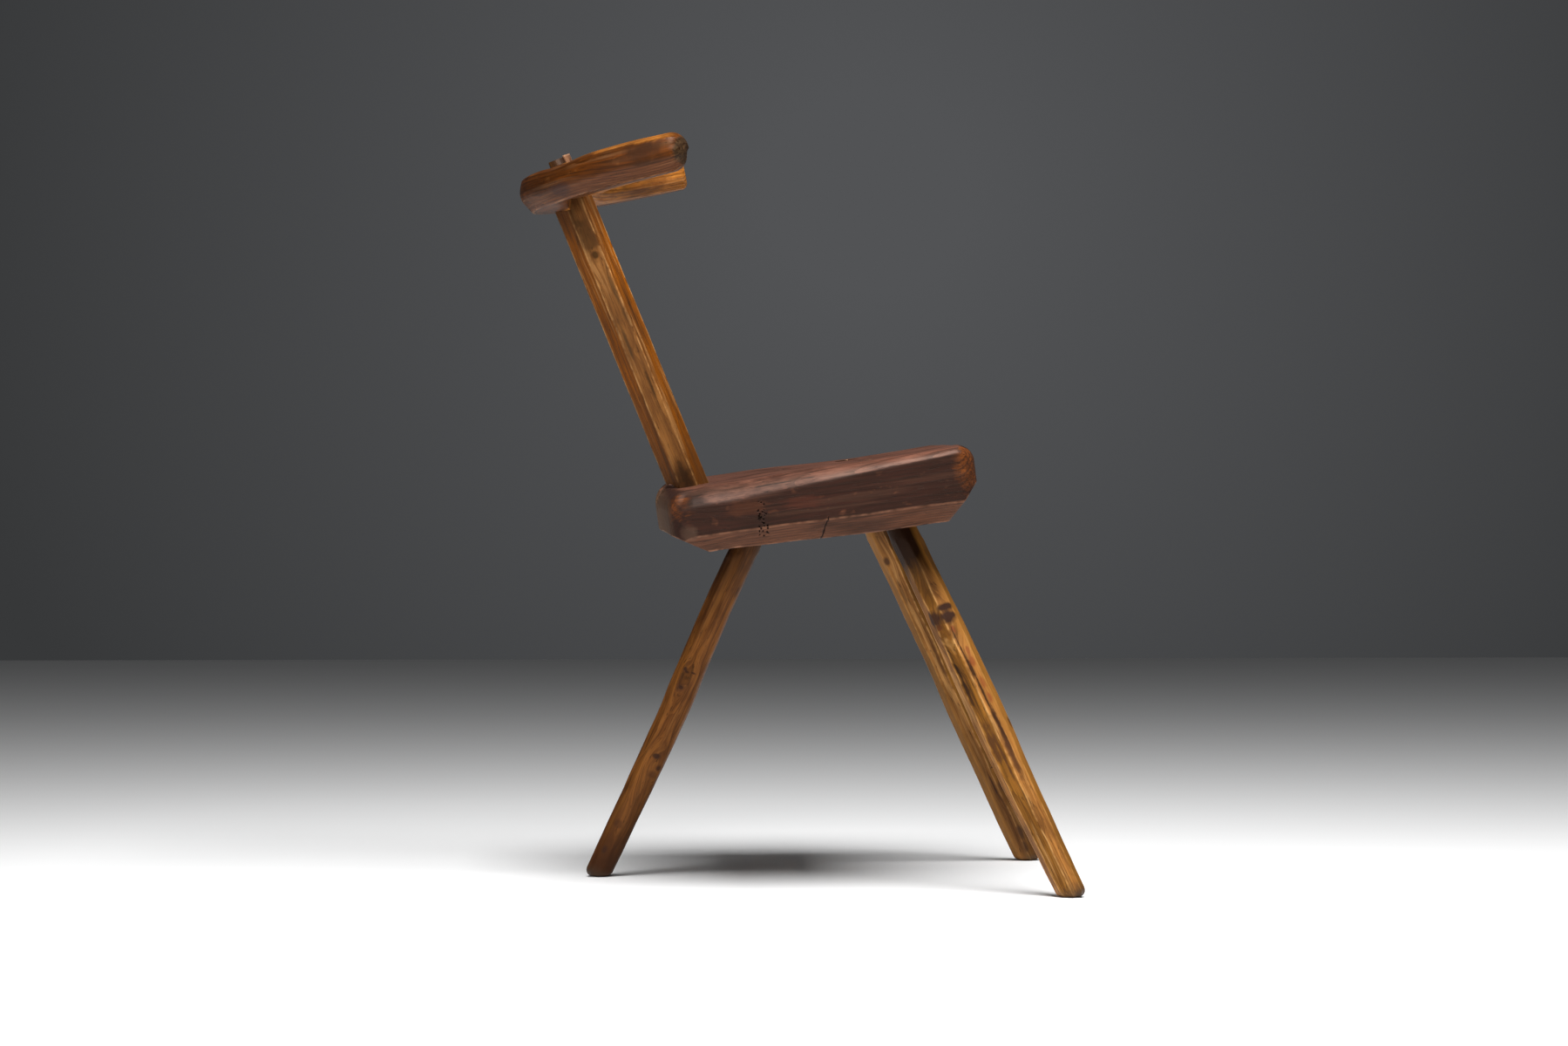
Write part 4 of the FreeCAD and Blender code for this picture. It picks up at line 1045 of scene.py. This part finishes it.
    # The outer corner of each end is rounded more. The top is worn on both sides of the post and behind it.
    corner = add("DIVIDE", worn_back(add, to_end, given["Corner Round"]), width)
    outer_part = add("ADD", out, half_width)
    out = add("SUBTRACT", out, add("MULTIPLY", outer_part, corner))
    off_dip = add("SUBTRACT", add("ABSOLUTE", share), given["Dip Place"])
    dip = bell(add, add("DIVIDE", off_dip, given["Dip Width"]))
    dip = add("MULTIPLY", given["Dip"], dip)
    top_half = add("DIVIDE", add("MAXIMUM", up, 0.0), half_height)
    up = add("SUBTRACT", up, add("MULTIPLY", dip, top_half))
    back = add("DIVIDE", add("SUBTRACT", out, 10 * MM), 14 * MM)
    apart = add(VECTOR, add(JOIN, back, off_apex), operation="LENGTH").outputs["Value"]
    fall = add("MULTIPLY", bell(add, apart), given["Back Fall"])
    up = add("SUBTRACT", up, add("MULTIPLY", fall, top_half))

    # The grain follows the bend, so the wood is told where each point lies on the unbent bar.
    flat = add(VECTOR, {"Vector": outward, "Scale": out}, operation="SCALE")
    flat = add(VECTOR, flat, middle, operation="ADD")
    lift = add(JOIN, 0.0, 0.0, add("ADD", up, half_height))
    even_out = add("MULTIPLY", add("DIVIDE", out, half_width), 25 * MM)
    unbent = add(JOIN, even_out, up, along)
    zones = add(JOIN, bevel, inner, cap)
    shape = mark_points(add, bar, "arris", low_arris)
    shape = mark_points(add, shape, "grain", unbent, "FLOAT_VECTOR")
    shape = mark_points(add, shape, "zones", zones, "FLOAT_VECTOR")
    place = add(VECTOR, flat, lift, operation="ADD")
    shape = add("GeometryNodeSetPosition", {"Geometry": shape, "Position": place})
    end_tree(add, shape, given)
    return tree


# Ash, waxed and handled: brown outside, golden inside, dull along the lower bevel and dark at the near end.
crest_wood = old_wood(
    "ash_hewn_waxed_crest", ("#5e300c", "#402006", "#281203", "#190a02", "#a87850"), pith=(10, -40),
    zones=(("#663c22", "#4c2a17"), ("#b0702e", "#8c521c"), ("#443220", "#2c1e14")), rings=3.6, wear=0.7,
    roughness=(0.36, 0.5), gloss=0.18, wax=0.04, patina=(0.44, 0.68), streaks=(0.6, 0.76), pale=0.2,
    marks=(
        ((22, 9, -202), 12.0, 0.75, 1.6, "#2a1406"), ((22, -10, -105), 8.0, 0.6, 2.0, "#2c1c1c"),
        ((-25, -9, 195), 7.0, 0.6, 2.5, "#5a3014"), ((-25, -11, 160), 6.0, 0.4, 3.0, "#5a3014"),
        ((25, 14, -140), 2.0, 0.8, 1.5, "#1c0e06"),
    ),
)
outer_radius, outer_centre, outer_angle = arc_of(*CREST_OUTER)
inner_radius, inner_centre, inner_angle = arc_of(*CREST_INNER)
crest_turn = CREST_PLACE.to_euler()
crest_rail = run_tree("crest_rail_hewn", crest_tree(), CREST_PLACE.translation, crest_turn, crest_wood, {
    "Outer Radius": outer_radius, "Outer Centre": outer_centre, "Inner Radius": inner_radius,
    "Inner Centre": inner_centre, "Height": CREST_HEIGHT, "Corner Cut": 7.5, "Near Round": 18,
    "Far Round": 6, "Corner Round": 17, "Half Path": 240, "Near Slant": 4, "Far Short": 5.5, "Dip": 4.2,
    "Back Fall": 5.0, "Apex Sag": 5.5, "Apex Lift": 8, "Near Thin": 1.3, "Hewing": 1.6,
}, {
    "Outer Angle": outer_angle, "Inner Angle": inner_angle, "Dip Place": 0.4, "Dip Width": 0.11, "Seed": 71.0,
})
carve(crest_rail, [back_post, wedges["crest_wedge"]])
dress(crest_rail, crest_wood, "crest_rail")

# Studio: a pale matt floor, and a grey backdrop painted lighter behind the stool, a painted pool of light
# that darkens outward.
# One large soft lamp hangs above the near side, and a weak one lights the near side from the rear.
FLOOR_HALF = 4.95
floor_points = FLOOR_HALF * np.array([(-1, -1, 0), (1, -1, 0), (1, 1, 0), (-1, 1, 0)])
floor = new_piece("studio_floor", floor_points, np.array([[0, 1, 2, 3]]))
floor_paint = bpy.data.materials.new("pale_matt_floor_paint")
floor_paint.use_nodes = True
painted = floor_paint.node_tree.nodes["Principled BSDF"].inputs
painted["Base Color"].default_value = linear("#f8f8f8")
painted["Roughness"].default_value = 0.7
floor.data.materials.append(floor_paint)

for name, place, aim, size, energy in (
    ("softbox", (-1.1, -0.2, 2.5), (-1.1, -0.2, 0.0), 1.6, 134),
    ("fill", (-1.9, 2.0, 1.3), (0.0, 0.0, 0.4), 1.4, 16),
):
    light = bpy.data.lights.new(name, "AREA")
    light.size = size
    light.energy = energy
    lamp = bpy.data.objects.new(name, light)
    lamp.location = place
    lamp.rotation_euler = (Vector(aim) - lamp.location).to_track_quat("-Z", "Y").to_euler()
    bpy.context.scene.collection.objects.link(lamp)

world = bpy.data.worlds.new("grey_backdrop")
bpy.context.scene.world = world
world.use_nodes = True
sky = world.node_tree
sky.nodes.clear()
seen = add_node(sky, "ShaderNodeLightPath")
shown = add_node(sky, "MAXIMUM", seen.outputs["Is Camera Ray"], seen.outputs["Is Glossy Ray"])
shown = add_node(sky, "MAXIMUM", shown, seen.outputs["Is Transmission Ray"])
# Painted pool of light: the backdrop is lighter straight behind the stool and darker outward.
toward = add_node(sky, "ShaderNodeTexCoord").outputs["Generated"]
middle_way = Vector((1.0, -0.061, 0.05)).normalized()
aside = add_node(sky, VECTOR, toward, middle_way, operation="DISTANCE").outputs["Value"]
fade = add_node(sky, RANGE, aside, 0.02, 0.19)
grey = add_node(sky, MIX, {0: fade, 6: linear("#525355"), 7: linear("#373839")}, data_type="RGBA")
dim = add_node(sky, "ShaderNodeBackground", linear("#242526"), 1.0)
backdrop = add_node(sky, "ShaderNodeBackground", grey.outputs[2], 1.0)
both = add_node(sky, "ShaderNodeMixShader", shown, dim, backdrop)
add_node(sky, "ShaderNodeOutputWorld", both)

# The camera's place and lens follow from the floor line, the feet and the level lines of the seat.
PHOTO_WIDTH = 1799
FOCAL_PIXELS = 5650
SENSOR_WIDTH = 36
CAMERA_TILT = 1.014
CAMERA_TURN = 2.5
camera_data = bpy.data.cameras.new("camera")
camera_data.sensor_width = SENSOR_WIDTH
camera_data.lens = SENSOR_WIDTH * FOCAL_PIXELS / PHOTO_WIDTH
camera = bpy.data.objects.new("camera", camera_data)
camera.location = (-5.0144, 0.2274, 0.452)
camera.rotation_euler = (math.radians(90 - CAMERA_TILT), 0, math.radians(-90 - CAMERA_TURN))
bpy.context.scene.collection.objects.link(camera)
bpy.context.scene.camera = camera
bpy.context.scene.view_settings.view_transform = "Standard"
